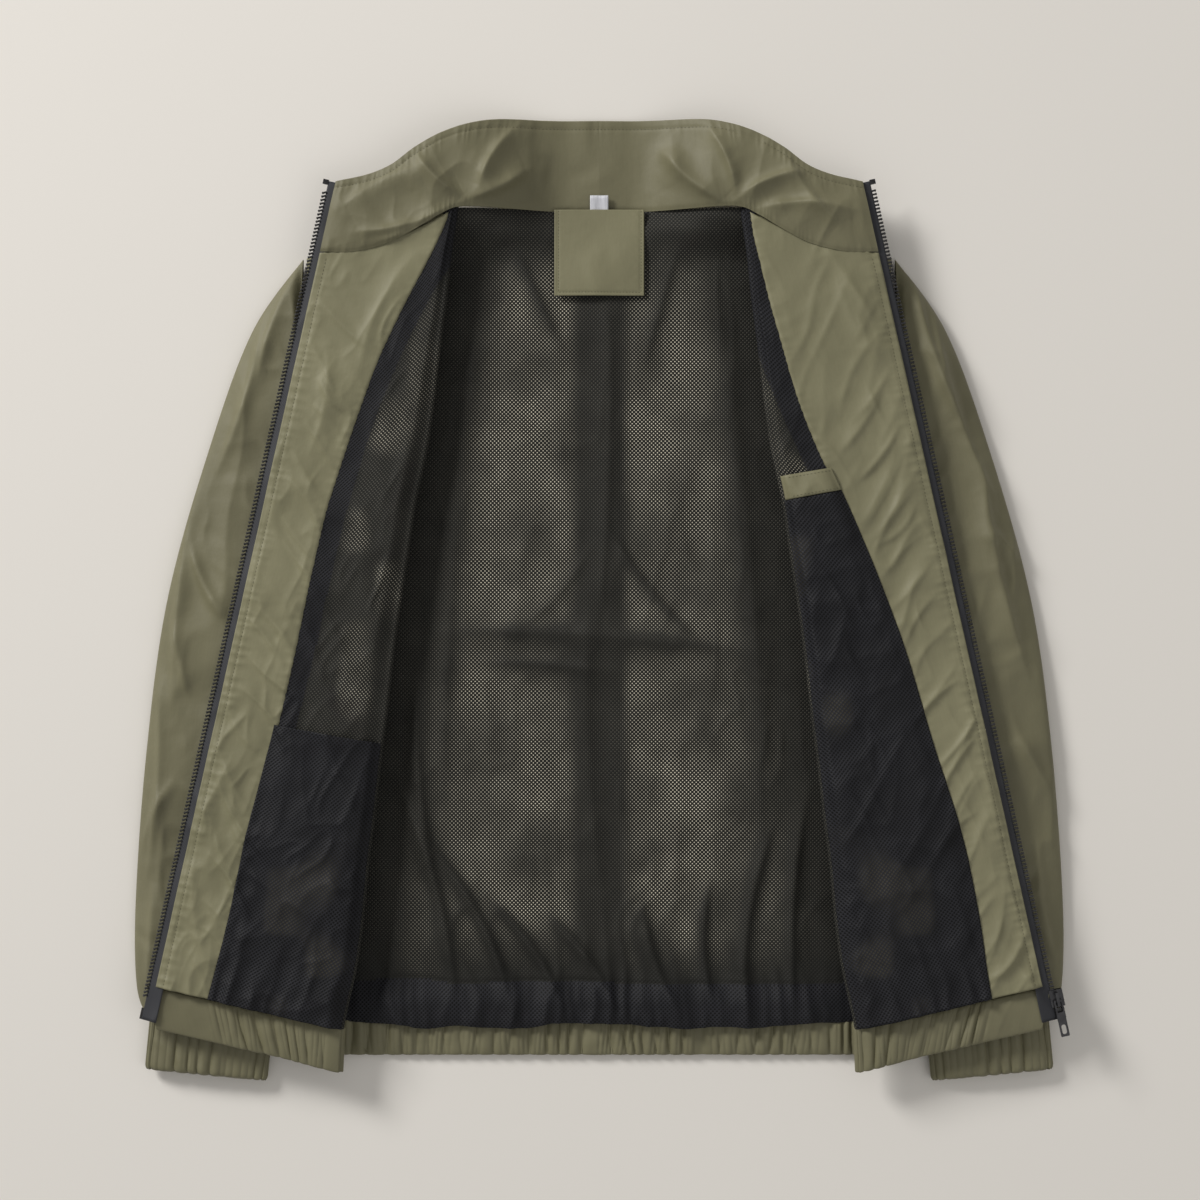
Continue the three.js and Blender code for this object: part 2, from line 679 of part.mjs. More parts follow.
// A ring on the cuff's oval section, from a profile of [depth, distance down from the seam].
function cuffRing(profile) {
  return flattened(profile, 28, (angle, depth, down) => {
    const x = (cuffWidth / 2 - depth) * Math.cos(angle);
    const z = sleeveThickness / 2 + (sleeveThickness / 2 - depth) * Math.sin(angle);
    return new THREE.Vector3(x, -down, z);
  });
}

function cuff(name) {
  const wall = 1;
  const channel = elasticThickness + 1.2;
  const deep = wall * 2 + channel;
  const casingProfile = [
    [0, 0], [0, cuffLength], [deep, cuffLength], [deep, 0],
    [wall + channel, 0], [wall + channel, cuffLength - wall], [wall, cuffLength - wall], [wall, 0],
  ];
  const near = wall + 0.6;
  const far = near + elasticThickness;
  const top = cuffLength - wall - gap - elasticWidth;
  const bandProfile = [[near, top], [near, top + elasticWidth], [far, top + elasticWidth], [far, top]];
  const group = new THREE.Group();
  group.position.set(cuffSeam.x, cuffSeam.y - gap, 0);
  group.rotation.z = cuffTurn;
  group.add(piece(`${name}_cuff_casing`, cuffRing(casingProfile), "shell"));
  group.add(piece(`${name}_cuff_elastic`, cuffRing(bandProfile), "elastic"));
  return group;
}

function arm(name) {
  const group = new THREE.Group();
  group.add(piece(`${name}_sleeve`, sleeve(), "shell"));
  group.add(cuff(name));
  return group;
}

// ---- Assembly ----

const left = new THREE.Group();
left.add(side("left"), front("left", leftFacingWidth, leftPocketDrop), arm("left"));
left.add(piece("left_pocket_binding", pocketBinding(leftPocketDrop, leftFacingWidth), "shell"));
const leftZip = zipSide("left");
leftZip.add(piece("left_zip_box", retainerBox(), "moulding"));
leftZip.add(piece("zip_slider", slider(), "metal"));
leftZip.add(piece("zip_pull", pull(), "metal"));
left.add(leftZip);

const right = new THREE.Group();
right.scale.x = -1;
right.add(side("right"), front("right", rightFacingWidth, rightPocketDrop), arm("right"));
const rightZip = zipSide("right");
rightZip.add(piece("right_zip_pin", pin(), "moulding"));
right.add(rightZip);

const jacket = new THREE.Group();
jacket.add(body(), collar(), label(), neckFlap(), left, right);

// The frame's origin is the middle of the space the jacket takes, on the surface it lies on.
const bounds = new THREE.Box3().setFromObject(jacket, true);
const middle = bounds.getCenter(new THREE.Vector3());
jacket.position.set(-middle.x, -middle.y, -bounds.min.z);

export default jacket;
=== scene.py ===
import json
import math

import bmesh
import bpy
import numpy as np
from mathutils import Matrix, Vector
from mathutils.bvhtree import BVHTree


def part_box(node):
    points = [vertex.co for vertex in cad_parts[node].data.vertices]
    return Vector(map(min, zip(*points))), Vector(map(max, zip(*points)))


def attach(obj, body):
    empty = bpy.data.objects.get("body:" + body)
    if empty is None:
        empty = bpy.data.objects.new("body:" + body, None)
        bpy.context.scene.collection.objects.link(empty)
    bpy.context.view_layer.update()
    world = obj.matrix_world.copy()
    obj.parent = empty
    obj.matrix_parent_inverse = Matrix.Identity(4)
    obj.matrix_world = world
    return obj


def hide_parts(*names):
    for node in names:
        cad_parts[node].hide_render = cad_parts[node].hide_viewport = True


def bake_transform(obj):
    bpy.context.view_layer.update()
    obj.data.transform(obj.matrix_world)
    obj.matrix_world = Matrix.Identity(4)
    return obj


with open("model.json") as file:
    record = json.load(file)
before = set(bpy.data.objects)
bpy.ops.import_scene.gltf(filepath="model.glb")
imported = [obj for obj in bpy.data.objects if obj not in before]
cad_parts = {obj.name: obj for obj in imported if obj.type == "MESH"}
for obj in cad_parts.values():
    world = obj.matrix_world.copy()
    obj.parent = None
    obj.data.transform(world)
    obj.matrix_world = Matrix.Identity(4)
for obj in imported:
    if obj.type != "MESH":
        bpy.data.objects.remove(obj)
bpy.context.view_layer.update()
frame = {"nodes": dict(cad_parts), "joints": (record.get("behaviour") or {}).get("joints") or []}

# ---- Camera, light and floor ----
# The jacket lies on a pale table under one wide soft light from the upper left, with a little light from all
# round, and is looked at from straight above.
mm = 0.001
middle = 0.5 * (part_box("back_shell")[0].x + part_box("back_shell")[1].x)

camera_data = bpy.data.cameras.new("camera")
camera_data.lens = 85
camera_data.sensor_width = 36
field = 0.984
camera = bpy.data.objects.new("camera", camera_data)
camera.location = (0, 0, 0.02 + field * camera_data.lens / camera_data.sensor_width)
bpy.context.scene.collection.objects.link(camera)
bpy.context.scene.camera = camera


def soft_light(name, place, size, watts, colour):
    data = bpy.data.lights.new(name, "AREA")
    data.size = size
    data.energy = watts
    data.color = colour
    light = bpy.data.objects.new(name, data)
    light.location = place
    light.rotation_euler = (-Vector(place)).to_track_quat("-Z", "Y").to_euler()
    bpy.context.scene.collection.objects.link(light)


soft_light("window", (-3.6, 3.1, 2.5), 1.5, 252, (1.0, 0.98, 0.95))
soft_light("fill", (1.6, -1.2, 2.6), 2.4, 12, (1.0, 0.98, 0.95))

world = bpy.data.worlds.new("room")
world.use_nodes = True
world.node_tree.nodes["Background"].inputs["Color"].default_value = (1.0, 0.98, 0.95, 1)
world.node_tree.nodes["Background"].inputs["Strength"].default_value = 0.36
bpy.context.scene.world = world
bpy.context.scene.view_settings.view_transform = "Standard"


def new_material(name):
    material = bpy.data.materials.new(name)
    material.use_nodes = True
    return material, material.node_tree.nodes, material.node_tree.links


def table_top():
    material, nodes, links = new_material("table_paint")
    shader = nodes["Principled BSDF"]
    shader.inputs["Base Color"].default_value = (0.80, 0.775, 0.735, 1)
    shader.inputs["Roughness"].default_value = 0.9
    bm = bmesh.new()
    bmesh.ops.create_grid(bm, x_segments=4, y_segments=4, size=4)
    mesh = bpy.data.meshes.new("table")
    bm.to_mesh(mesh)
    bm.free()
    table = bpy.data.objects.new("table", mesh)
    bpy.context.scene.collection.objects.link(table)
    table.data.materials.append(material)


table_top()

# ---- Back panel ----
# The back of the shell: olive plain-woven polyester with a pale coating on its inner face. It lies flat on
# the table and turns up at the neck and shoulder seams to meet the collar and the fronts.
joint_of = {joint["name"]: joint for joint in frame["joints"]}
neck_y = joint_of["neck_flap_lift"]["pos_m"][1]
fold_joint = joint_of["left_front_fold"]
fold_top = Vector((fold_joint["pos_m"][0] - middle, fold_joint["pos_m"][1]))
fold_slope = -fold_joint["axis"][0] / fold_joint["axis"][1]
fold_z = fold_joint["pos_m"][2]
hem_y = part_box("back_hem_casing")[0].y
hem_seam_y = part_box("back_shell")[0].y
hem_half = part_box("back_hem_casing")[1].x - middle
armpit = Vector((250 * mm, neck_y - 262 * mm))
shoulder = Vector((237 * mm, neck_y - 40 * mm))
side_z = 8 * mm
roll_z = fold_z - 0.5 * mm
roll = 3.3 * mm


def fold_x(y):
    return fold_top.x + (fold_top.y - y) * fold_slope


def ease(low, high, value):
    t = np.clip((value - low) / (high - low), 0, 1)
    return t * t * (3 - 2 * t)


def mix(a, b, t):
    return a + (b - a) * t


def bumps(x, y, size, seed):
    """Smooth random heights from -1 to 1 over a plane, with hills of that size."""
    table = np.random.RandomState(seed).uniform(-1, 1, (64, 64))
    gx, gy = np.asarray(x) / size + 17.3, np.asarray(y) / size + 11.7
    ix, iy = np.floor(gx).astype(int), np.floor(gy).astype(int)
    fx, fy = gx - ix, gy - iy
    fx, fy = fx * fx * fx * (fx * (6 * fx - 15) + 10), fy * fy * fy * (fy * (6 * fy - 15) + 10)
    low = mix(table[iy % 64, ix % 64], table[iy % 64, (ix + 1) % 64], fx)
    high = mix(table[(iy + 1) % 64, ix % 64], table[(iy + 1) % 64, (ix + 1) % 64], fx)
    return mix(low, high, fy)


def creases(x, y, size, seed, sharp=2.0):
    """Narrow raised lines with broad hollows between them, from 0 to 1, as crushed cloth has."""
    wx = x + 0.45 * size * bumps(x, y, size * 1.3, seed + 1)
    wy = y + 0.45 * size * bumps(x, y, size * 1.3, seed + 2)
    return (1 - np.abs(bumps(wx, wy, size, seed))) ** sharp


def pleat(x, y, start, end, width, bow=0.0):
    """One fold from start to end, 1 high along its crest, steeper on its left, fading at its ends and sides.
    The points are in millimetres, and bow is how far its middle swings to its left."""
    (ax, ay), (bx, by) = (start[0] * mm, start[1] * mm), (end[0] * mm, end[1] * mm)
    dx, dy = bx - ax, by - ay
    length = math.hypot(dx, dy)
    t = np.clip(((x - ax) * dx + (y - ay) * dy) / length / length, 0, 1)
    off = ((x - ax) * dy - (y - ay) * dx) / length + bow * mm * 4 * t * (1 - t)
    past = np.hypot(x - ax - t * dx, y - ay - t * dy) * ((t <= 0) | (t >= 1))
    fade = np.clip(1.3 * np.sin(np.pi * (0.06 + 0.88 * t)), 0, 1)
    off = off * np.where(off > 0, 0.8, 1.5)
    away = np.sqrt((off / width / mm) ** 2 + (past / width / mm) ** 2 + 0.05)
    return np.exp(1.5 * (0.2236 - away)) * ease(3.4, 1.8, away) * fade


def pleats(x, y, folds):
    """The height in millimetres of several folds, each given as its height and then as pleat() takes it."""
    return sum(height * pleat(x, y, *fold) for height, *fold in folds)


def cloth(name, columns, rows, place, side=1):
    """A sheet of cloth: a grid whose points, from 0 to 1 across and along, are placed by a function that
    gives x, y, z and the flat place on the cloth. side is 1 for the wearer's left and -1 for the right."""
    bm = bmesh.new()
    bmesh.ops.create_grid(bm, x_segments=columns, y_segments=rows, size=0.5)
    mesh = bpy.data.meshes.new(name)
    bm.to_mesh(mesh)
    bm.free()
    co = np.empty(len(mesh.vertices) * 3)
    mesh.vertices.foreach_get("co", co)
    co = co.reshape(-1, 3)
    x, y, z, across, along = place(co[:, 0] + 0.5, co[:, 1] + 0.5)
    points = np.stack([middle + side * x, y, z], 1)
    mesh.vertices.foreach_set("co", points.astype(np.float32).ravel())
    corner = np.empty(len(mesh.loops), int)
    mesh.loops.foreach_get("vertex_index", corner)
    layer = mesh.uv_layers.new(name="UVMap")
    layer.data.foreach_set("uv", np.stack([across[corner], along[corner]], 1).astype(np.float32).ravel())
    if side < 0:
        mesh.flip_normals()
    mesh.polygons.foreach_set("use_smooth", np.ones(len(mesh.polygons), bool))
    mesh.update()
    thing = bpy.data.objects.new(name, mesh)
    bpy.context.scene.collection.objects.link(thing)
    return thing


def points_of(thing):
    co = np.empty(len(thing.data.vertices) * 3)
    thing.data.vertices.foreach_get("co", co)
    return co.reshape(-1, 3)


def centres_of(thing):
    centres = np.empty(len(thing.data.polygons) * 3)
    thing.data.polygons.foreach_get("center", centres)
    return centres.reshape(-1, 3)


def give_thickness(thing, thickness, offset=0.0):
    solid = thing.modifiers.new("thickness", "SOLIDIFY")
    solid.thickness = thickness
    solid.offset = offset


def mark(thing, name, values):
    """Keeps one number for each point of the sheet, for its material."""
    layer = thing.data.attributes.new(name, "FLOAT", "POINT")
    layer.data.foreach_set("value", np.asarray(values, np.float32))


def flat_size(thing):
    """The rectangle that the flat cloth was cut from, and the cloth's own area."""
    mesh = thing.data
    uv = np.empty(len(mesh.loops) * 2)
    mesh.uv_layers["UVMap"].data.foreach_get("uv", uv)
    uv = uv.reshape(-1, 2)
    size = uv.max(0) - uv.min(0)
    quads = uv.reshape(-1, 4, 2)
    p, q = quads[:, 2] - quads[:, 0], quads[:, 3] - quads[:, 1]
    area = float(np.abs(p[:, 0] * q[:, 1] - p[:, 1] * q[:, 0]).sum() / 2)
    return tuple(float(s) for s in size), area


def declare(thing, body, nodes, slot, held, rests_on, other=None, start=None, end=None):
    """The sheet takes the place of CAD nodes and goes with its body, or, when other is given, stays where it
    lies; its flat size is worked out.
    """
    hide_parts(*nodes)
    if other:
        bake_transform(thing)
        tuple(start)
        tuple(end)
    else:
        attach(thing, body)
    size, area = flat_size(thing)


def curve_points(points, t):
    """A smooth curve through a few points, read at t from 0 to 1."""
    points = np.array(points, float)
    n = len(points) - 1
    s = np.clip(np.asarray(t, float), 0, 1) * n
    i = np.minimum(s.astype(int), n - 1)
    f = (s - i)[:, None]
    before, a = points[np.maximum(i - 1, 0)], points[i]
    b, after = points[i + 1], points[np.minimum(i + 2, n)]
    v0, v1 = (b - before) / 2, (after - a) / 2
    ends = (2 * f**3 - 3 * f**2 + 1) * a + (3 * f**2 - 2 * f**3) * b
    out = ends + (f**3 - 2 * f**2 + f) * v0 + (f**3 - f**2) * v1
    return out[:, 0], out[:, 1]


side_seam = [
    (hem_half, hem_seam_y), (armpit.x, armpit.y - 100 * mm), (armpit.x - 2 * mm, armpit.y),
    (shoulder.x - 4 * mm, armpit.y + 100 * mm), (shoulder.x, shoulder.y),
]


def side_height(w):
    """Height of the folded side above the table, from the fold (0) to the side seam (1)."""
    return mix(roll_z - roll, side_z, ease(0.03, 0.7, w))


def weave_group():
    """Plain weave and faint slubs, from the cloth's own flat coordinates in metres."""
    group = bpy.data.node_groups.new("weave", "ShaderNodeTree")
    group.interface.new_socket("Threads per mm", in_out="INPUT", socket_type="NodeSocketFloat")
    group.interface.new_socket("Height", in_out="OUTPUT", socket_type="NodeSocketFloat")
    group.interface.new_socket("Slubs", in_out="OUTPUT", socket_type="NodeSocketFloat")
    nodes, links = group.nodes, group.links
    inlet, outlet = nodes.new("NodeGroupInput"), nodes.new("NodeGroupOutput")
    uv = nodes.new("ShaderNodeUVMap")
    uv.uv_map = "UVMap"
    per_metre = nodes.new("ShaderNodeMath")
    per_metre.operation = "MULTIPLY"
    per_metre.inputs[1].default_value = 1000 * math.pi
    links.new(inlet.outputs["Threads per mm"], per_metre.inputs[0])
    scale = nodes.new("ShaderNodeVectorMath")
    scale.operation = "SCALE"
    links.new(uv.outputs["UV"], scale.inputs[0])
    links.new(per_metre.outputs[0], scale.inputs["Scale"])
    split = nodes.new("ShaderNodeSeparateXYZ")
    links.new(scale.outputs[0], split.inputs[0])
    product = nodes.new("ShaderNodeMath")
    product.operation = "MULTIPLY"
    for i, axis in enumerate(("X", "Y")):
        wave = nodes.new("ShaderNodeMath")
        wave.operation = "SINE"
        links.new(split.outputs[axis], wave.inputs[0])
        links.new(wave.outputs[0], product.inputs[i])
    links.new(product.outputs[0], outlet.inputs["Height"])
    stretch = nodes.new("ShaderNodeMapping")
    stretch.inputs["Scale"].default_value = (900, 60, 1)
    links.new(uv.outputs["UV"], stretch.inputs["Vector"])
    slub = nodes.new("ShaderNodeTexNoise")
    slub.inputs["Scale"].default_value = 1.0
    slub.inputs["Detail"].default_value = 2.0
    links.new(stretch.outputs[0], slub.inputs["Vector"])
    links.new(slub.outputs["Fac"], outlet.inputs["Slubs"])
    return group


weave = weave_group()


def scaled(nodes, links, source, low, high):
    """A noise value near one half spread out to run from low to high."""
    spread = nodes.new("ShaderNodeMapRange")
    spread.inputs["From Min"].default_value = 0.3
    spread.inputs["From Max"].default_value = 0.7
    spread.inputs["To Min"].default_value = low
    spread.inputs["To Max"].default_value = high
    links.new(source, spread.inputs["Value"])
    return spread.outputs[0]


def bumped(nodes, links, height, strength, distance, under=None):
    """The normal of a surface with small relief, on top of the relief under it."""
    bump = nodes.new("ShaderNodeBump")
    bump.inputs["Strength"].default_value = strength
    bump.inputs["Distance"].default_value = distance
    links.new(height, bump.inputs["Height"])
    if under is not None:
        links.new(under, bump.inputs["Normal"])
    return bump.outputs[0]


def noise_over(nodes, links, place, scale, detail):
    """A cloudy texture over a set of coordinates."""
    noise = nodes.new("ShaderNodeTexNoise")
    noise.inputs["Scale"].default_value = scale
    noise.inputs["Detail"].default_value = detail
    links.new(place, noise.inputs["Vector"])
    return noise


def two_tone(nodes, links, factor, low, high):
    """One colour where the factor is 0 and another where it is 1."""
    blend = nodes.new("ShaderNodeMix")
    blend.data_type = "RGBA"
    blend.inputs["A"].default_value = (*low, 1)
    blend.inputs["B"].default_value = (*high, 1)
    links.new(factor, blend.inputs["Factor"])
    return blend.outputs["Result"]


def shell_material(name, colour, deep, roughness=0.56, sheen=0.08):
    """Shell cloth: a fine weave, faint slubs, slow changes of shade, crinkles and tiny ripples."""
    material, nodes, links = new_material(name)
    shader = nodes["Principled BSDF"]
    shader.inputs["Roughness"].default_value = roughness
    shader.inputs["Specular IOR Level"].default_value = 0.42
    shader.inputs["Sheen Weight"].default_value = sheen
    shader.inputs["Sheen Roughness"].default_value = 0.45
    shader.inputs["Sheen Tint"].default_value = (0.9, 0.88, 0.78, 1)
    threads = nodes.new("ShaderNodeGroup")
    threads.node_tree = weave
    threads.inputs["Threads per mm"].default_value = 2.2
    place = nodes.new("ShaderNodeTexCoord")
    slow = noise_over(nodes, links, place.outputs["Object"], 9, 3)
    blend = two_tone(nodes, links, scaled(nodes, links, slow.outputs["Fac"], 0, 1), deep, colour)
    tint = nodes.new("ShaderNodeVectorMath")
    tint.operation = "SCALE"
    links.new(blend, tint.inputs[0])
    links.new(scaled(nodes, links, threads.outputs["Slubs"], 0.975, 1.025), tint.inputs["Scale"])
    links.new(tint.outputs[0], shader.inputs["Base Color"])
    crinkle = nodes.new("ShaderNodeTexNoise")
    crinkle.noise_type = "RIDGED_MULTIFRACTAL"
    crinkle.inputs["Scale"].default_value = 21
    crinkle.inputs["Detail"].default_value = 2
    crinkle.inputs["Roughness"].default_value = 0.35
    crinkle.inputs["Distortion"].default_value = 0.9
    links.new(place.outputs["Object"], crinkle.inputs["Vector"])
    broken = bumped(nodes, links, crinkle.outputs["Fac"], 0.45, 0.005)
    ripple = noise_over(nodes, links, place.outputs["Object"], 110, 2)
    soft = bumped(nodes, links, ripple.outputs["Fac"], 0.25, 0.0012, broken)
    bump = bumped(nodes, links, threads.outputs["Height"], 0.3, 0.0001, soft)
    links.new(bump, shader.inputs["Normal"])
    return material


olive = shell_material("olive_shell", (0.216, 0.205, 0.121), (0.180, 0.171, 0.099))
# A darker copy of the same olive shell, which paints shade on the sleeves, cuffs, hems and collar.
shaded_olive = shell_material("olive_outside", (0.166, 0.156, 0.090), (0.138, 0.129, 0.074))
coating = shell_material("pale_coating", (0.62, 0.60, 0.50), (0.50, 0.48, 0.40), 0.6, 0.0)


def neck_climb(x):
    """How high the neck seam stands above the table, at x from the middle."""
    return ease(0.22, 1.0, np.abs(x) / fold_top.x) * (roll_z - 3 * mm)


def shoulder_climb(x, y):
    """How far the back rises near the neck and shoulder seams to meet what is sewn there."""
    ax = np.abs(x)
    t = np.clip((ax - fold_top.x) / (shoulder.x - fold_top.x), 0, 1)
    seam_z = np.where(ax < fold_top.x, neck_climb(x), side_height(t))
    seam_y = np.where(ax < fold_top.x, neck_y, mix(neck_y, shoulder.y, t))
    return seam_z * ease(-45 * mm, -2 * mm, y - seam_y)


seam_steps = np.linspace(0, 1, 200)
seam_x, seam_y = curve_points(side_seam, seam_steps)


def back_plan(u, v, inset, low_y):
    """x and y of a back sheet that reaches from low_y to the neck, u across and v up."""
    y = low_y + v * (neck_y - 0.5 * mm - low_y)
    half = np.interp(y, seam_y, seam_x) - inset
    t = np.clip((y - shoulder.y) / (neck_y - shoulder.y), 0, 1)
    half = np.where(y > shoulder.y, mix(shoulder.x - inset, fold_top.x, t), half)
    return (2 * u - 1) * half, y


def back_place(u, v):
    x, y = back_plan(u, v, 0, hem_seam_y)
    rough = 0.6 * mm * (1 + bumps(x, y, 45 * mm, 3)) + 0.5 * mm * creases(x, y, 60 * mm, 9)
    return x, y, 0.5 * mm + rough + shoulder_climb(x, y), x, y


back = cloth("back_panel", 110, 140, back_place)
give_thickness(back, 0.4 * mm)
back.data.materials.append(coating)
back.data.materials.append(olive)
back.modifiers["thickness"].material_offset = 1
declare(back, "torso", ["back_shell"], "shell", "laid", ["table"])

# ---- Back lining ----
# Black knitted mesh with rows of small round holes, sewn in at the neck, the sides and the hem. Its holes are
# painted: where it lies close on the pale inner face of the back they show that face lit, and elsewhere
# painted shadow. A darker band, gathered with the hem, runs along its lower edge.


def mesh_group():
    """The holes of the mesh, from the cloth's flat coordinates: 1 inside a hole, 0 on the threads."""
    group = bpy.data.node_groups.new("mesh_holes", "ShaderNodeTree")
    group.interface.new_socket("Pitch", in_out="INPUT", socket_type="NodeSocketFloat")
    group.interface.new_socket("Hole radius", in_out="INPUT", socket_type="NodeSocketFloat")
    group.interface.new_socket("Hole", in_out="OUTPUT", socket_type="NodeSocketFloat")
    group.interface.new_socket("Height", in_out="OUTPUT", socket_type="NodeSocketFloat")
    nodes, links = group.nodes, group.links
    inlet, outlet = nodes.new("NodeGroupInput"), nodes.new("NodeGroupOutput")
    uv = nodes.new("ShaderNodeUVMap")
    uv.uv_map = "UVMap"
    lattice = nodes.new("ShaderNodeVectorMath")
    lattice.operation = "DIVIDE"
    pitch = nodes.new("ShaderNodeCombineXYZ")
    for axis in ("X", "Y", "Z"):
        links.new(inlet.outputs["Pitch"], pitch.inputs[axis])
    links.new(uv.outputs["UV"], lattice.inputs[0])
    links.new(pitch.outputs[0], lattice.inputs[1])
    nearest = nodes.new("ShaderNodeMath")
    nearest.operation = "MINIMUM"
    for i, shift in enumerate((0.0, 0.5)):
        move = nodes.new("ShaderNodeVectorMath")
        move.operation = "ADD"
        move.inputs[1].default_value = (shift, shift, 0)
        links.new(lattice.outputs[0], move.inputs[0])
        cell = nodes.new("ShaderNodeVectorMath")
        cell.operation = "FRACTION"
        links.new(move.outputs[0], cell.inputs[0])
        centre = nodes.new("ShaderNodeVectorMath")
        centre.operation = "SUBTRACT"
        centre.inputs[1].default_value = (0.5, 0.5, 0)
        links.new(cell.outputs[0], centre.inputs[0])
        flat = nodes.new("ShaderNodeVectorMath")
        flat.operation = "MULTIPLY"
        flat.inputs[1].default_value = (1, 1, 0)
        links.new(centre.outputs[0], flat.inputs[0])
        away = nodes.new("ShaderNodeVectorMath")
        away.operation = "LENGTH"
        links.new(flat.outputs[0], away.inputs[0])
        links.new(away.outputs["Value"], nearest.inputs[i])
    edge = nodes.new("ShaderNodeMapRange")
    edge.interpolation_type = "SMOOTHSTEP"
    wide = nodes.new("ShaderNodeMath")
    wide.operation = "MULTIPLY"
    wide.inputs[1].default_value = 1.45
    links.new(inlet.outputs["Hole radius"], wide.inputs[0])
    links.new(nearest.outputs[0], edge.inputs["Value"])
    links.new(inlet.outputs["Hole radius"], edge.inputs["From Min"])
    links.new(wide.outputs[0], edge.inputs["From Max"])
    edge.inputs["To Min"].default_value = 1
    edge.inputs["To Max"].default_value = 0
    links.new(edge.outputs[0], outlet.inputs["Hole"])
    links.new(nearest.outputs[0], outlet.inputs["Height"])
    return group


mesh_holes = mesh_group()


def mesh_material(name, thread, shadow, ground, pitch=3.2 * mm, radius=0.125, seen="lit"):
    """Knitted mesh: dark threads, and holes painted with shadow, or with the ground lit where the sheet is
    marked lit.
    """
    material, nodes, links = new_material(name)
    shader = nodes["Principled BSDF"]
    shader.inputs["Roughness"].default_value = 0.62
    shader.inputs["Specular IOR Level"].default_value = 0.22
    shader.inputs["Sheen Weight"].default_value = 0.04
    shader.inputs["Sheen Roughness"].default_value = 0.4
    holes = nodes.new("ShaderNodeGroup")
    holes.node_tree = mesh_holes
    holes.inputs["Pitch"].default_value = pitch
    holes.inputs["Hole radius"].default_value = radius
    lit = nodes.new("ShaderNodeAttribute")
    lit.attribute_name = seen
    place = nodes.new("ShaderNodeTexCoord")
    patch = noise_over(nodes, links, place.outputs["Object"], 38, 4)
    # Painted light: the lit mark, broken into patches by noise.
    patchy_light = nodes.new("ShaderNodeMath")
    patchy_light.operation = "MULTIPLY"
    patchy_light.use_clamp = True
    links.new(lit.outputs["Fac"], patchy_light.inputs[0])
    links.new(scaled(nodes, links, patch.outputs["Fac"], 0.75, 1.1), patchy_light.inputs[1])
    # What the holes show is painted: near black as painted shadow, the ground as painted light.
    behind = two_tone(nodes, links, patchy_light.outputs[0], shadow, ground)
    cloth_colour = nodes.new("ShaderNodeVectorMath")
    cloth_colour.operation = "SCALE"
    cloth_colour.inputs[0].default_value = thread
    links.new(scaled(nodes, links, patch.outputs["Fac"], 0.8, 1.2), cloth_colour.inputs["Scale"])
    top = nodes.new("ShaderNodeMix")
    top.data_type = "RGBA"
    links.new(holes.outputs["Hole"], top.inputs["Factor"])
    links.new(cloth_colour.outputs[0], top.inputs["A"])
    links.new(behind, top.inputs["B"])
    links.new(top.outputs["Result"], shader.inputs["Base Color"])
    bump = bumped(nodes, links, holes.outputs["Height"], 0.9, 0.001)
    links.new(bump, shader.inputs["Normal"])
    return material


# The pale ground is the back's inner coating painted lit; the near black in the holes is painted shadow.
black_mesh = mesh_material("black_mesh", (0.0135, 0.0135, 0.0115), (0.001, 0.001, 0.001), (0.80, 0.75, 0.60))
navy_threads, navy_shadow = (0.0160, 0.0165, 0.0205), (0.0008, 0.0008, 0.001)
navy_mesh = mesh_material("navy_mesh", navy_threads, navy_shadow, (0.10, 0.09, 0.065), 3.4 * mm, 0.2)


def gathers(along, away, pitch, reach, seed, strength=1.0):
    """Ripples across a seam from 0 to 1: irregular, and dying out over reach as they leave it."""
    phase = along / pitch + 0.9 * bumps(along, away * 0.4, 2.6 * pitch, seed)
    phase = phase + 0.25 * bumps(along, away, 1.2 * pitch, seed + 5)
    size = 0.65 + 0.35 * bumps(along, away, 2.2 * pitch, seed + 1)
    wave = 1 - np.abs(np.sin(np.pi * phase)) ** 0.8
    return strength * size * wave * np.exp(-np.maximum(away, 0) / reach)


waist_folds = (
    (4.6, (-124, -26), (112, -42), 14, 6), (2.5, (-100, -52), (20, -60), 9, 3),
    (3.6, (8, 58), (78, -30), 8, -4), (2.0, (-10, 40), (-64, -22), 9, 6),
)
long_folds = (
    (3.3, (6, 262), (-4, -40), 13, 7), (3.2, (-8, 10), (4, -260), 15, -7),
    (3.0, (-100, 240), (-128, -220), 16, -8), (3.0, (96, 250), (134, -210), 17, 10),
)
neck_folds = (
    (3.5, (-96, 300), (96, 302), 16, 8), (3.0, (-70, 292), (-30, 205), 9), (2.6, (66, 294), (36, 190), 10),
)
hem_sweeps = (
    (5.5, (-166, -150), (-118, -338), 9, 9), (5.5, (-140, -200), (-72, -340), 8, 10),
    (5.5, (-92, -246), (-30, -338), 8, 8), (5.5, (-40, -262), (14, -340), 8, 6),
    (5.5, (36, -250), (66, -340), 9, -6), (5.5, (92, -232), (96, -340), 8, -8),
    (5.5, (142, -190), (120, -338), 9, -8), (5.5, (172, -160), (160, -336), 8, -6),
    (5.5, (-150, -60), (-136, -230), 9, -6),
)


def back_folds(x, y):
    """How far the back lining lifts off the back panel."""
    up = y - hem_seam_y
    folds = pleats(x, y, waist_folds + long_folds + neck_folds + hem_sweeps)
    folds = folds + 1.7 * creases(x, 0.4 * y, 46 * mm, 31, 1) + 0.8 * (1 + bumps(x, 0.6 * y, 34 * mm, 35))
    folds = folds + 1.2 * creases(1.3 * x, 0.5 * y, 24 * mm, 37, 3) * (0.5 + 0.5 * bumps(x, y, 60 * mm, 39))
    scallop = gathers(x + 0.25 * up * bumps(x, y, 60 * mm, 41), up, 30 * mm, 60 * mm, 43)
    folds = folds + 7.0 * scallop + 3.0 * gathers(x, up, 13 * mm, 24 * mm, 47)
    return folds * mm


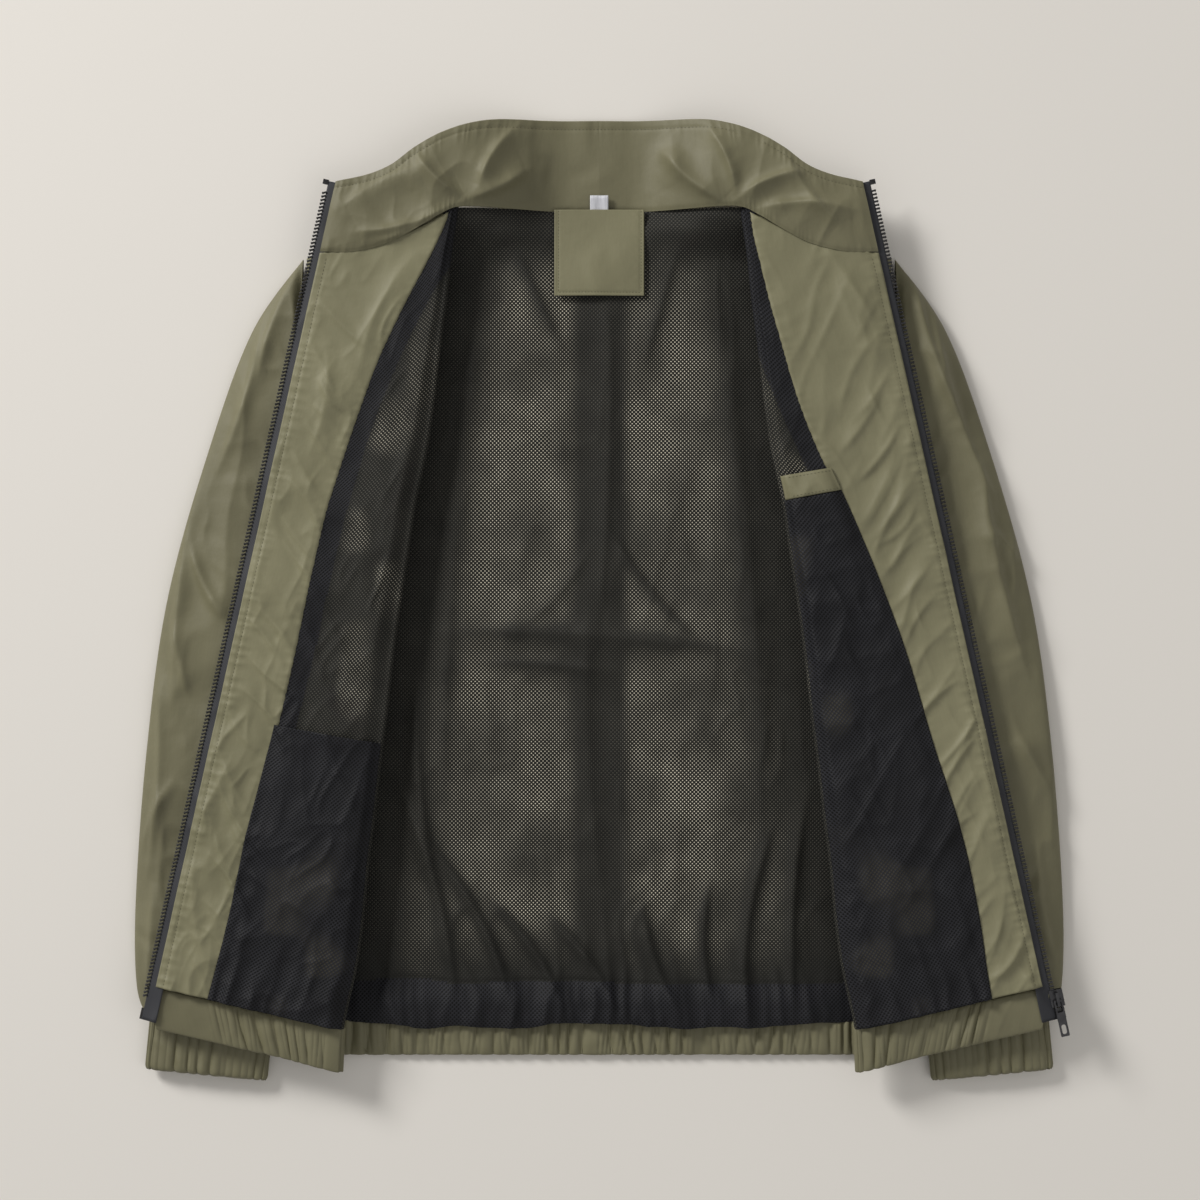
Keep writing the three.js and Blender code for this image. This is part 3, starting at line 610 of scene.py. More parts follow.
def roll_side(x, y):
    """Distance inwards from the fold of the front, measured across."""
    return fold_x(y) - np.abs(x)


def band_height(x):
    """How far above the hem's seam the doubled band of mesh reaches."""
    return 31 * mm + 4 * mm * bumps(x, 0 * x, 48 * mm, 57)


def back_lining_place(u, v):
    x, y = back_plan(u, v, 2.5 * mm, hem_seam_y - 2 * mm)
    calm = ease(-4 * mm, 40 * mm, roll_side(x, y)) * ease(0, 26 * mm, neck_y - y)
    up = y - hem_seam_y
    bag = 7.0 * mm * np.exp(-(((up - 13 * mm) / (15 * mm)) ** 2)) + 2.5 * mm * ease(12 * mm, 0, up)
    bag = bag - 1.4 * mm * np.exp(-(((up - band_height(x)) / (1.8 * mm)) ** 2))
    z = 3.1 * mm + mix(0.25, 1, calm) * back_folds(x, y) + bag * mix(0.3, 1, calm) + shoulder_climb(x, y)
    y = y - 3.5 * mm * ease(20 * mm, 0, up) * (1 + bumps(x, 0 * x, 27 * mm, 59)) * calm
    return x, y, z, x, y


back_lining = cloth("back_lining_mesh", 230, 300, back_lining_place)
co = points_of(back_lining)
bx, by = co[:, 0] - middle, co[:, 1]
height = back_folds(bx, by) / mm
# Painted light in the holes: marked lit on flat panels where the lining lies low on the back, in patches, and
# a little everywhere above the hem.
panel = ease(16, 30, bx / mm) + ease(-14, -30, bx / mm)
panel = panel * ease(18 * mm, 62 * mm, roll_side(bx, by)) * ease(22, 60, (neck_y - by) / mm)
panel = panel * ease(25, 95, (by - hem_seam_y) / mm)
patchy_light = 0.72 + 0.4 * bumps(bx, by, 44 * mm, 51) + 0.15 * bumps(bx, by, 13 * mm, 52)
everywhere = 0.10 * ease(20, 90, (by - hem_seam_y) / mm)
mark(back_lining, "lit", everywhere + 0.9 * panel * (1 - ease(1.5, 6.0, height)) * patchy_light)
back_lining.data.materials.append(black_mesh)
back_lining.data.materials.append(navy_mesh)
centres = centres_of(back_lining)
doubled = centres[:, 1] - hem_seam_y < band_height(centres[:, 0] - middle)
back_lining.data.polygons.foreach_set("material_index", doubled.astype(np.int32))
declare(back_lining, "torso", ["back_lining"], "lining_mesh", "laid", ["back_panel"])

# ---- Fronts, outer shell ----
# Each front's shell is one piece of olive polyester from the side seam to the zip. The front lies folded
# open, so its outer face is hidden: it looks up on the folded side and down on the opened part.
zip_low = Vector((375 * mm, hem_y + 33 * mm))
zip_top = Vector((222 * mm, neck_y + 22 * mm))
zip_length = (zip_top - zip_low).length
zip_up = (zip_top - zip_low) / zip_length
zip_out = Vector((zip_up.y, -zip_up.x))
hem_along = 29 * mm
seam_along = zip_length - 60 * mm
tape_show = 7 * mm
open_z = 27.4 * mm
ply_gap = 1.7 * mm
seam_sag = 8 * mm


def by_zip(along, out):
    x = zip_low.x + zip_up.x * along + zip_out.x * out
    return x, zip_low.y + zip_up.y * along + zip_out.y * out


def from_zip(x, y):
    """How far up the zip and how far inwards from it a point lies."""
    dx, dy = x - zip_low.x, y - zip_low.y
    return dx * zip_up.x + dy * zip_up.y, -(dx * zip_out.x + dy * zip_out.y)


fold_low_y = -351 * mm


def front_plan(u, v, away=0):
    """x and y on an opened front, u from the zip's edge of the cloth to the fold and v from hem to neck."""
    outer_x, outer_y = by_zip(mix(hem_along, seam_along, v), -tape_show)
    fold_y = mix(fold_low_y, neck_y, v)
    inner_x = fold_x(fold_y) + away + 3.5 * mm * bumps(fold_y, 0 * fold_y, 85 * mm, 97) * ease(1, 0.9, v)
    sag = -seam_sag * 4 * u * (1 - u) * ease(0.8, 1, v)
    return mix(outer_x, inner_x, u), mix(outer_y, fold_y, u) + sag


def front_width(v):
    outer_x, outer_y = by_zip(mix(hem_along, seam_along, v), -tape_show)
    fold_y = mix(fold_low_y, neck_y, v)
    return np.hypot(outer_x - fold_x(fold_y), outer_y - fold_y)


def pulls(side):
    """Short slanting creases that the stitching beside the zip pulls into each facing."""
    random = np.random.RandomState(420 + side)
    found = []
    for i in range(24):
        along = mix(40, 600, (i + random.uniform(-0.3, 0.3)) / 23) * mm
        reach, inward = random.uniform(26, 54) * mm, random.uniform(12, 30) * mm
        start, end = by_zip(along, -inward), by_zip(along - random.uniform(0.5, 1.3) * reach, -inward - reach)
        points = (start[0] / mm, start[1] / mm), (end[0] / mm, end[1] / mm)
        found.append((points, random.uniform(3.2, 6.0), random.uniform(-6, 6), random.uniform(0.9, 2.4)))
    return found


pulls_on = {1: pulls(1), -1: pulls(-1)}


front_folds = {
    1: (
        (3.0, (222, 232), (180, 296), 9), (2.5, (236, 190), (196, 258), 11, 6),
        (2.2, (300, 20), (262, 70), 9, 5), (2.4, (318, -70), (330, -190), 9, -8),
        (2.0, (330, -225), (312, -305), 8, 6), (2.0, (240, 60), (258, 150), 10),
    ),
    -1: (
        (3.2, (118, 318), (190, 292), 8, -5), (3.0, (148, 285), (196, 186), 12, 8),
        (2.3, (222, 205), (236, 120), 9, -6), (2.2, (290, 20), (300, -90), 10, 8),
        (2.2, (300, -130), (326, -180), 8), (2.2, (330, -215), (318, -300), 9, 6),
    ),
}


def front_rise(x, y, side):
    """How far the opened front stands off the sleeve below it: soft swells, long pulls and small crumples."""
    along, inward = from_zip(x, y)
    seed = 100 if side > 0 else 140
    rise = 1.3 * (1 + bumps(x, y, 70 * mm, seed)) + 2.2 * creases(x, 0.6 * y, 62 * mm, seed + 3, 1)
    rise = 0.7 * rise + 2.1 * creases(x - 0.5 * y, 0.4 * y + 0.35 * x, 25 * mm, seed + 9, 1)
    crumpled = 1 + bumps(x, y, 45 * mm, seed + 12)
    rise = rise + 1.0 * creases(x + 0.6 * y, 0.45 * (y - x), 17 * mm, seed + 11, 1) * crumpled
    rise = rise + 1.5 * ease(0, 110 * mm, inward)
    for (start, end), wide, bow, tall in pulls_on[side]:
        rise = rise + tall * pleat(x, y, start, end, wide, bow)
    low_part = ease(0.5, 0.15, v_of(along))
    rise = rise + 2.2 * creases(1.2 * x + 0.5 * y, 0.5 * y, 26 * mm, seed + 13, 1) * low_part
    edge = ease(0, 16 * mm, inward)
    rise = rise + pleats(x, y, front_folds[side])
    near_neck = ease(0.9, 1.0, v_of(along))
    return (0.25 + 0.75 * edge) * rise * mm * mix(1, 0.6, near_neck)


def v_of(along):
    return (along - hem_along) / (seam_along - hem_along)


def fold_under(x, y, t, radius, drop_to, seam):
    """Points that go round the fold and back out to the side seam: t from 0 at the top of the roll to 1."""
    turn = np.clip(t / 0.3, 0, 1)
    angle = np.pi * (0.5 + turn)
    rolled_x = x + radius * np.cos(angle)
    rolled_z = roll_z + radius * np.sin(angle)
    w = np.clip((t - 0.3) / 0.6, 0, 1)
    tuck = np.clip((t - 0.9) / 0.1, 0, 1)
    flat_x, flat_y = mix(x, seam[0], w), mix(y, seam[1], w)
    flat_z = np.minimum(side_height(w) + drop_to, roll_z - radius)
    swing = np.pi * (0.5 - tuck)
    bend = 0.5 * (side_z + drop_to - 0.8 * mm)
    flat_x = flat_x + np.where(tuck > 0, bend * np.cos(swing), 0)
    flat_z = np.where(tuck > 0, side_z + drop_to - bend + bend * np.sin(swing), flat_z)
    rolled = t < 0.3
    return np.where(rolled, rolled_x, flat_x), np.where(rolled, y, flat_y), np.where(rolled, rolled_z, flat_z)


def seam_at(v):
    y = mix(hem_seam_y, shoulder.y, v)
    return np.interp(y, seam_y, seam_x), y


def front_sheet(side, radius, low, drop_to, start):
    """A front's sheet from its outer edge at start(v), in to the fold, round it and out to the side seam."""
    open_part = 0.5

    def place(u, v):
        top = np.clip(u / open_part, 0, 1)
        first = start(v)
        across = mix(first, 1, top)
        x, y = front_plan(across, v, roll)
        settle = ease(1, 0.82, top)
        z = mix(roll_z + radius, open_z - low + front_rise(x, y, side), settle)
        t = np.clip((u - open_part) / (1 - open_part), 0, 1)
        ux, uy, uz = fold_under(x, y, t, radius, drop_to, seam_at(v))
        under = u > open_part
        width = front_width(v)
        seam = seam_at(v)
        back_width = np.hypot(seam[0] - fold_x(y), 0)
        turned = np.pi * radius * np.clip(t / 0.3, 0, 1) + back_width * np.clip((t - 0.3) / 0.6, 0, 1)
        turned = turned + 8 * mm * np.clip((t - 0.9) / 0.1, 0, 1)
        flat = width * across + turned
        return np.where(under, ux, x), np.where(under, uy, y), np.where(under, uz, z), flat, 0.68 * v
    return place


sides = ((1, "left"), (-1, "right"))
fold_middle = Vector((fold_x(0) + middle, 0, 0))
for side, name in sides:
    place = front_sheet(side, 1.4 * mm, ply_gap, 1.6 * mm, lambda v: 0 * v)
    shell = cloth(f"{name}_front_outer", 96, 120, place, side)
    give_thickness(shell, 0.4 * mm)
    shell.data.materials.append(olive)
    low, high = (side * fold_middle.x, 0, 22.9 * mm), (side * fold_middle.x, 0, 25.3 * mm)
    nodes = [f"{name}_front_shell", f"{name}_side_shell"]
    declare(shell, "torso", nodes, "shell", "folded", [f"{name}_sleeve_cloth"], f"{name}_front", low, high)

# ---- Fronts, mesh lining ----
# The same black mesh lines each front. It rolls over the fold and runs down between the two sides to the side
# seam, and it ends in a seam against the facing.
facing_widths = {
    1: (54, 48, 48, 55, 61, 72, 88, 104, 113, 120),
    -1: (55, 56, 56, 59, 61, 61, 63, 72, 90, 119),
}


def facing_share(v, side):
    """Where the facing ends, as a share of the way from the cloth's edge to the fold."""
    widths = np.array(facing_widths[side]) * mm
    _, width = curve_points([(0, w) for w in widths], np.atleast_1d(v))
    return np.clip((width - tape_show) / front_width(v), 0.05, 0.93)


for side, name in sides:
    place = front_sheet(side, roll, 0.3 * mm, -1.0 * mm, lambda v: facing_share(v, side) - 0.012)
    lining = cloth(f"{name}_front_mesh", 150, 240, place, side)
    co = points_of(lining)
    fx, fy, fz = side * (co[:, 0] - middle), co[:, 1], co[:, 2]
    # Painted light in the holes: patches marked lit on top of the roll beside the fold, away from the facing.
    patches = ease(0.05, 0.8, bumps(fx, 0.7 * fy, 30 * mm, 61 if side > 0 else 66))
    patches = patches * (0.4 + 0.6 * creases(fx, fy, 22 * mm, 63, 1))
    band = np.exp(-(((fx - fold_x(fy)) / (30 * mm) - 1.0) ** 2))
    v = (fy - fold_low_y) / (neck_y - fold_low_y)
    _, inward = from_zip(fx, fy)
    clear_of_facing = ease(8 * mm, 20 * mm, inward - tape_show - facing_share(v, side) * front_width(v))
    shows = 0.10 + 0.6 * patches * band * (fz > 0.026) * ease(-220 * mm, 0, fy)
    mark(lining, "lit", shows * mix(0, 1, clear_of_facing))
    lining.data.materials.append(black_mesh)
    lining.data.materials.append(navy_mesh)
    centres = centres_of(lining)
    cx, cy = side * (centres[:, 0] - middle), centres[:, 1]
    level = np.clip((cy - fold_low_y) / (neck_y - fold_low_y), 0, 1)
    _, inward = from_zip(cx, cy)
    beside = inward - tape_show - facing_share(level, side) * front_width(level) < 13 * mm
    bound = beside & (centres[:, 2] > 25 * mm)
    lining.data.polygons.foreach_set("material_index", bound.astype(np.int32))
    low, high = (side * fold_middle.x, 0, 21.2 * mm), (side * fold_middle.x, 0, 27.2 * mm)
    nodes = [f"{name}_front_lining"]
    rests = [f"{name}_front_outer"]
    declare(lining, "torso", nodes, "lining_mesh", "folded", rests, f"{name}_front", low, high)

# ---- Facings ----
# A strip of the olive shell faces the inside of each front behind the zip. A row of stitches 6 mm from the
# tape pulls it into small cross puckers, and its inner edge is sewn to the mesh.
facing_lift = 0.5 * mm
stitch_in = 6 * mm


def puckers(along, away, seed):
    """Small cross ripples that a row of stitches makes on both of its sides."""
    wave = gathers(along, np.abs(away) * 0.5, 8.5 * mm, 1, seed) - 0.35
    return wave * np.exp(-((away / (8 * mm)) ** 2))


def facing_place(side):
    def place(u, v):
        across = u * facing_share(v, side)
        x, y = front_plan(across, v)
        along, inward = from_zip(x, y)
        row = inward - tape_show - stitch_in
        z = open_z + facing_lift + front_rise(x, y, side)
        z = z + 1.1 * mm * puckers(along, row, 71 if side > 0 else 75)
        z = z - 0.5 * mm * np.exp(-((row / (1.3 * mm)) ** 2))
        seam = (facing_share(v, side) - across) * front_width(v)
        z = z + 0.9 * mm * puckers(along, seam, 78) - 0.9 * mm * np.exp(-((seam / (1.2 * mm)) ** 2))
        edge = (inward - tape_show) / (1.6 * mm)
        return x, y, z + 0.3 * mm * np.exp(-(edge**2)), inward, along
    return place


def height_of(*things):
    """A function that gives the height of the topmost of these things under a point."""
    bpy.context.view_layer.update()
    graph = bpy.context.evaluated_depsgraph_get()
    trees = [BVHTree.FromObject(thing, graph) for thing in things]

    def top(x, y):
        found = [tree.ray_cast(Vector((x, y, 1)), Vector((0, 0, -1)))[0] for tree in trees]
        return max((hit.z for hit in found if hit is not None), default=None)
    return top


def thread_material():
    material, nodes, links = new_material("olive_thread")
    shader = nodes["Principled BSDF"]
    shader.inputs["Roughness"].default_value = 0.45
    place = nodes.new("ShaderNodeTexCoord")
    ply = nodes.new("ShaderNodeTexWave")
    ply.bands_direction = "DIAGONAL"
    ply.inputs["Scale"].default_value = 900
    ply.inputs["Distortion"].default_value = 1
    links.new(place.outputs["Object"], ply.inputs["Vector"])
    tone = two_tone(nodes, links, ply.outputs["Fac"], (0.085, 0.08, 0.045), (0.13, 0.122, 0.072))
    links.new(tone, shader.inputs["Base Color"])
    bump = bumped(nodes, links, ply.outputs["Fac"], 0.4, 0.0001)
    links.new(bump, shader.inputs["Normal"])
    return material


thread = thread_material()


def stitches(name, lines, ground, body, step=3.0 * mm, size=2.0 * mm, wide=0.5 * mm):
    """Rows of stitches along lines of x and y, laid on what is under them."""
    bm = bmesh.new()
    top = height_of(*ground)
    for line in lines:
        xs, ys = np.array(line[0]), np.array(line[1])
        run = np.concatenate([[0], np.cumsum(np.hypot(np.diff(xs), np.diff(ys)))])
        count = int(run[-1] / step)
        at = (np.arange(count) + 0.5) * step
        px, py = np.interp(at, run, xs), np.interp(at, run, ys)
        qx, qy = np.interp(at + 0.3 * step, run, xs), np.interp(at + 0.3 * step, run, ys)
        for i in range(count):
            here, there = top(px[i], py[i]), top(qx[i], qy[i])
            if here is None or there is None or abs(there - here) > 1.2 * mm:
                continue
            heading = Vector((qx[i] - px[i], qy[i] - py[i], there - here))
            turn = heading.to_track_quat("X", "Z").to_matrix().to_4x4()
            shape = Matrix.Diagonal((size / 2, wide / 2, 0.22 * mm, 1))
            place = Matrix.Translation((px[i], py[i], here + 0.06 * mm)) @ turn @ shape
            bmesh.ops.create_icosphere(bm, subdivisions=1, radius=1, matrix=place)
    mesh = bpy.data.meshes.new(name)
    bm.to_mesh(mesh)
    bm.free()
    mesh.polygons.foreach_set("use_smooth", np.ones(len(mesh.polygons), bool))
    seam = bpy.data.objects.new(name, mesh)
    bpy.context.scene.collection.objects.link(seam)
    seam.data.materials.append(thread)
    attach(seam, body)
    return seam


facings = {}
for side, name in sides:
    facing = cloth(f"{name}_facing", 60, 420, facing_place(side), side)
    give_thickness(facing, 0.4 * mm)
    facing.data.materials.append(olive)
    declare(facing, f"{name}_front", [f"{name}_front_facing"], "shell", "folded", [f"{name}_front_outer"])
    facings[name] = facing
    along = np.linspace(hem_along + 2 * mm, seam_along - 2 * mm, 200)
    x, y = by_zip(along, -tape_show - stitch_in)
    rows = [(middle + side * x, y)]
    stitches(f"{name}_facing_stitches", rows, [facing], f"{name}_front")

# ---- Inside pockets ----
# Each front has a large inside pocket of a second, denser mesh, sewn down at its sides and at the hem. The
# wearer's left pocket has a bound mouth of folded shell cloth.
pocket_mouths = {1: neck_y - 232 * mm, -1: neck_y - 424 * mm}
mouth_slope = 0.17
binding_height = 19 * mm


def bag_top(across, side):
    """v of the pocket's mouth, for a share of the way from the cloth's edge to the fold."""
    low_y = mix(by_zip(hem_along, -tape_show)[1], fold_low_y, across)
    high_y = mix(by_zip(seam_along, -tape_show)[1], neck_y, across)
    v_mouth = (pocket_mouths[side] - fold_low_y) / (neck_y - fold_low_y)
    share = facing_share(np.atleast_1d(v_mouth), side)[0]
    fall = mouth_slope * (across - share) * front_width(v_mouth)
    return (pocket_mouths[side] - fall - low_y) / (high_y - low_y)


def bag_place(side, low=0.0, high=1.0, lift=1.0 * mm, puff=3.4 * mm, over=0.0):
    def place(u, v):
        first = facing_share(0.5 * bag_top(0.7, side) * np.ones_like(v), side)
        for _ in range(3):
            across = mix(first, 1.0, u)
            top = bag_top(across, side)
            level = mix(low, top + over, v) if high == 1.0 else top + high * v
            first = facing_share(level, side) - 0.02
        x, y = front_plan(across, level, 0.6 * roll)
        width = front_width(level)
        inside = np.minimum(u, 1 - u) * 2
        swell = ease(0, 0.5, inside) * ease(0, 0.06, level) * (0.55 + 0.45 * bumps(x, y, 50 * mm, 81))
        soft = 2.2 * creases(x, y, 54 * mm, 83 if side > 0 else 85, 2) + 1.0 * creases(x, y, 24 * mm, 87, 2)
        hem = gathers(across * width, level * 0.66, 17 * mm, 45 * mm, 89)
        z = open_z + lift + front_rise(x, y, side) + puff * swell
        z = z + mm * soft * ease(0, 0.3, inside) + 3.2 * mm * hem
        settle = ease(1, 0.9, u)
        z = mix(roll_z + roll + lift, z, settle)
        return x, y, z, across * width, level * 0.66
    return place


bags = {}
for side, name in sides:
    bag = cloth(f"{name}_pocket_mesh", 70, 180, bag_place(side), side)
    co = points_of(bag)
    fx, fy = side * (co[:, 0] - middle), co[:, 1]
    # Painted light in random patches of the holes.
    mark(bag, "lit", 0.35 * ease(0.4, 0.9, bumps(fx, fy, 34 * mm, 91)))
    bag.data.materials.append(navy_mesh)
    give_thickness(bag, 0.5 * mm)
    declare(bag, f"{name}_front", [f"{name}_pocket_bag"], "lining_mesh", "folded", [f"{name}_front_mesh"])
    bags[name] = bag


def binding_place(u, v):
    band = 1 - abs(2 * v - 1) ** 3
    level = binding_height / 0.655
    x, y, z, across, _ = bag_place(1, high=level, lift=1.9 * mm)(u * 0.985, np.clip(v, 0, 1))
    return x, y, z + 0.7 * mm * band, across, v * binding_height


binding = cloth("left_pocket_edge", 50, 14, binding_place)
give_thickness(binding, 0.7 * mm, 1)
binding.data.materials.append(olive)
declare(binding, "left_front", ["left_pocket_binding"], "shell", "folded", ["left_pocket_mesh"])
rows = []
for share in (0.1, 0.88):
    u = np.linspace(0.03, 0.97, 60)
    x, y = binding_place(u, np.full(60, share))[:2]
    rows.append((middle + x, y))
stitches("left_pocket_stitches", rows, [binding], "left_front")

# ---- Hand pocket welts ----
# On the outer face of each front, which looks down here, a narrow welt of shell cloth edges a slanted pocket.
welt_low, welt_long, welt_wide = 104 * mm, 165 * mm, 24 * mm
welt_from_fold = (37.8 * mm, 53.9 * mm)


def welt_place(side):
    def place(u, v):
        along = welt_low + v * welt_long
        _, fold_in = from_zip(fold_x(by_zip(along, -0.15)[1]), by_zip(along, -0.15)[1])
        out = fold_in - mix(*welt_from_fold, v) + (u - 0.5) * welt_wide
        x, y = by_zip(along, -out)
        rim = 0.5 * mm * np.exp(-(((np.abs(u - 0.5) - 0.42) / 0.06) ** 2))
        rim = rim - 0.8 * mm * np.exp(-(((u - 0.9) / 0.03) ** 2))
        return x, y, open_z - ply_gap - 1.1 * mm - rim + front_rise(x, y, side), u * welt_wide, v * welt_long
    return place


for side, name in sides:
    welt = cloth(f"{name}_hand_welt_cloth", 24, 60, welt_place(side), side)
    give_thickness(welt, 0.6 * mm)
    welt.data.materials.append(olive)
    declare(welt, f"{name}_front", [f"{name}_hand_welt"], "shell", "folded", [f"{name}_front_outer"])

# ---- Zip ----
# A chunky moulded zip: black polyester tape sewn between shell and facing, with one row of moulded teeth
# along each tape's outer edge, every 3 mm. Slider and pull are black metal and wait at the wearer's left hem.
tape_in, tape_out = 13.6 * mm, 1.0 * mm
tooth_pitch = 3 * mm
chain_low, chain_high = 20 * mm, zip_length - 5 * mm


def tape_material():
    material, nodes, links = new_material("zip_tape")
    shader = nodes["Principled BSDF"]
    shader.inputs["Roughness"].default_value = 0.62
    shader.inputs["Sheen Weight"].default_value = 0.15
    uv = nodes.new("ShaderNodeUVMap")
    uv.uv_map = "UVMap"
    twill = nodes.new("ShaderNodeTexWave")
    twill.bands_direction = "DIAGONAL"
    twill.inputs["Scale"].default_value = 420
    twill.inputs["Distortion"].default_value = 0.6
    links.new(uv.outputs["UV"], twill.inputs["Vector"])
    tone = two_tone(nodes, links, twill.outputs["Fac"], (0.009, 0.010, 0.014), (0.022, 0.024, 0.032))
    links.new(tone, shader.inputs["Base Color"])
    bump = bumped(nodes, links, twill.outputs["Fac"], 0.5, 0.0002)
    links.new(bump, shader.inputs["Normal"])
    return material


def hard_material(name, colour, roughness, metallic, dust, bump_height):
    """Moulding or painted metal: slightly uneven gloss, a trace of dust and a fine surface."""
    material, nodes, links = new_material(name)
    shader = nodes["Principled BSDF"]
    shader.inputs["Metallic"].default_value = metallic
    place = nodes.new("ShaderNodeTexCoord")
    noise = noise_over(nodes, links, place.outputs["Object"], 160, 3)
    tone = two_tone(nodes, links, scaled(nodes, links, noise.outputs["Fac"], 0, 1), colour, dust)
    links.new(tone, shader.inputs["Base Color"])
    uneven = scaled(nodes, links, noise.outputs["Fac"], roughness * 0.75, roughness * 1.3)
    links.new(uneven, shader.inputs["Roughness"])
    bump = bumped(nodes, links, noise.outputs["Fac"], 0.2, bump_height)
    links.new(bump, shader.inputs["Normal"])
    return material


tape_cloth = tape_material()
moulding = hard_material("black_moulding", (0.010, 0.010, 0.011), 0.3, 0.0, (0.030, 0.030, 0.032), 0.0002)
black_metal = hard_material("black_metal", (0.035, 0.035, 0.038), 0.32, 0.85, (0.075, 0.075, 0.08), 0.0001)
film_skin = hard_material("zip_film", (0.10, 0.10, 0.105), 0.25, 0.0, (0.16, 0.16, 0.165), 0.0001)


def tape_height(x, y, side):
    return open_z - 0.9 * mm + front_rise(x, y, side)


def tape_place(side):
    def place(u, v):
        along, out = v * (zip_length - 1 * mm), mix(-tape_in, -tape_out, u)
        x, y = by_zip(along, out)
        along, inward = from_zip(x, y)
        z = tape_height(x, y, side) + 0.3 * mm * np.exp(-(((out + 4.2 * mm) / (0.5 * mm)) ** 2))
        return x, y, z, u * (tape_in - tape_out), v * zip_length
    return place


def tooth_shape():
    """One moulded tooth: a bar across the tape's edge with a rounded head that hooks its neighbours."""
    bm = bmesh.new()
    for size, out, round_off in (((3.6, 1.5, 2.5), 0.1, 0.45), ((1.5, 2.1, 1.7), 1.6, 0.5)):
        made = bmesh.ops.create_cube(bm, size=1)["verts"]
        bmesh.ops.scale(bm, verts=made, vec=Vector(size) * mm)
        bmesh.ops.translate(bm, verts=made, vec=Vector((out * mm, 0, 0)))
        edges = list({edge for vert in made for edge in vert.link_edges})
        rounding = {"segments": 1, "profile": 0.5, "material": -1, "affect": "EDGES"}
        bmesh.ops.bevel(bm, geom=edges, offset=round_off * mm, **rounding)
    mesh = bpy.data.meshes.new("tooth")
    bm.to_mesh(mesh)
    bm.free()
    return mesh


tooth = tooth_shape()
for side, name in sides:
    tape = cloth(f"{name}_tape", 10, 260, tape_place(side), side)
    give_thickness(tape, 0.5 * mm)
    tape.data.materials.append(tape_cloth)
    declare(tape, f"{name}_front", [f"{name}_zip_tape"], "zip_tape", "folded", [f"{name}_front_outer"])
    bm = bmesh.new()
    count = int((chain_high - chain_low) / tooth_pitch)
    for i in range(count):
        along = chain_low + (i + (0.5 if side > 0 else 0.0)) * tooth_pitch
        x, y = by_zip(along, 0)
        before = len(bm.verts)
        bm.from_mesh(tooth)
        bm.verts.ensure_lookup_table()
        new = bm.verts[before:]
        turn = Matrix.Rotation(math.atan2(side * zip_out.y, side * zip_out.x), 4, "Z")
        lift = float(tape_height(np.array([x]), np.array([y]), side)[0])
        bmesh.ops.transform(bm, matrix=Matrix.Translation((middle + side * x, y, lift)) @ turn, verts=new)
    mesh = bpy.data.meshes.new(f"{name}_teeth")
    bm.to_mesh(mesh)
    bm.free()
    teeth = bpy.data.objects.new(f"{name}_teeth", mesh)
    bpy.context.scene.collection.objects.link(teeth)
    teeth.data.materials.append(moulding)
    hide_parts(f"{name}_zip_chain")
    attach(teeth, f"{name}_front")
    frame["nodes"][f"{name}_zip_film"].material_slots[0].material = film_skin
    frame["nodes"][f"{name}_zip_top_stop"].material_slots[0].material = moulding
for node in ("left_zip_box", "right_zip_pin"):
    frame["nodes"][node].material_slots[0].material = moulding
for node in ("zip_slider", "zip_pull"):
    frame["nodes"][node].material_slots[0].material = black_metal

# ---- Hems ----
# A doubled band of shell cloth gathered onto hidden elastic closes the bottom edge. Across the back it is one
# band, and each front carries it from its flat zip end in to the fold, round it and back to the side seam.


def band_section(v, height, thick):
    """The oval section of a flat band: how far up the band and how far through it, round from 0 to 1."""
    angle = 2 * np.pi * v
    up = np.sign(np.cos(angle)) * np.abs(np.cos(angle)) ** 0.75
    through = np.sign(np.sin(angle)) * np.abs(np.sin(angle)) ** 0.7
    return 0.5 * height * up, 0.5 * thick * through, np.abs(np.sin(angle))


def puffs(along, pitch, seed):
    """Gathers over elastic: rounded puffs of uneven width with narrow dips between, about 0 on average."""
    phase = along / pitch + 1.1 * bumps(along, 0 * along, 2.3 * pitch, seed)
    size = 0.75 + 0.35 * bumps(along, 0 * along, 1.9 * pitch, seed + 1)
    return size * (np.abs(np.sin(np.pi * phase)) ** 0.6 - 0.68)


def back_hem_place(u, v):
    length, height = 2 * hem_half, 29 * mm
    along = u * length
    up, through, face = band_section(v, height, 3.6 * mm)
    phase_shift = 2.0 * mm * bumps(along, up, 30 * mm, 201)
    rib = puffs(along + phase_shift, 13 * mm, 203) + 0.3 * puffs(along - phase_shift, 6 * mm, 207)
    z = 4.2 * mm + through + np.sign(through) * 4.2 * mm * rib * face ** 0.7
    y = hem_y + 0.5 * height + up + 0.9 * mm * rib * np.sign(up) * (1 - face)
    return along - hem_half, y, np.maximum(z, 0.4 * mm), along, 2 * height * v


def close_tube(thing):
    """Sews the two long edges of a rolled-up sheet together."""
    bm = bmesh.new()
    bm.from_mesh(thing.data)
    bmesh.ops.remove_doubles(bm, verts=bm.verts, dist=0.02 * mm)
    bm.to_mesh(thing.data)
    bm.free()


hem = cloth("back_hem", 620, 40, back_hem_place)
hem.data.flip_normals()
close_tube(hem)
give_thickness(hem, 0.4 * mm, -1)
hem.data.materials.append(shaded_olive)
declare(hem, "torso", ["back_hem_casing", "back_hem_elastic"], "shell", "gathered", ["table"])

tab = 52 * mm
hem_roll = 3.2 * mm
hem_roll_z = 22.2 * mm
hem_mid = 11 * mm
front_band_height = 36 * mm
opened_share, rolled_share = 0.66, 0.2


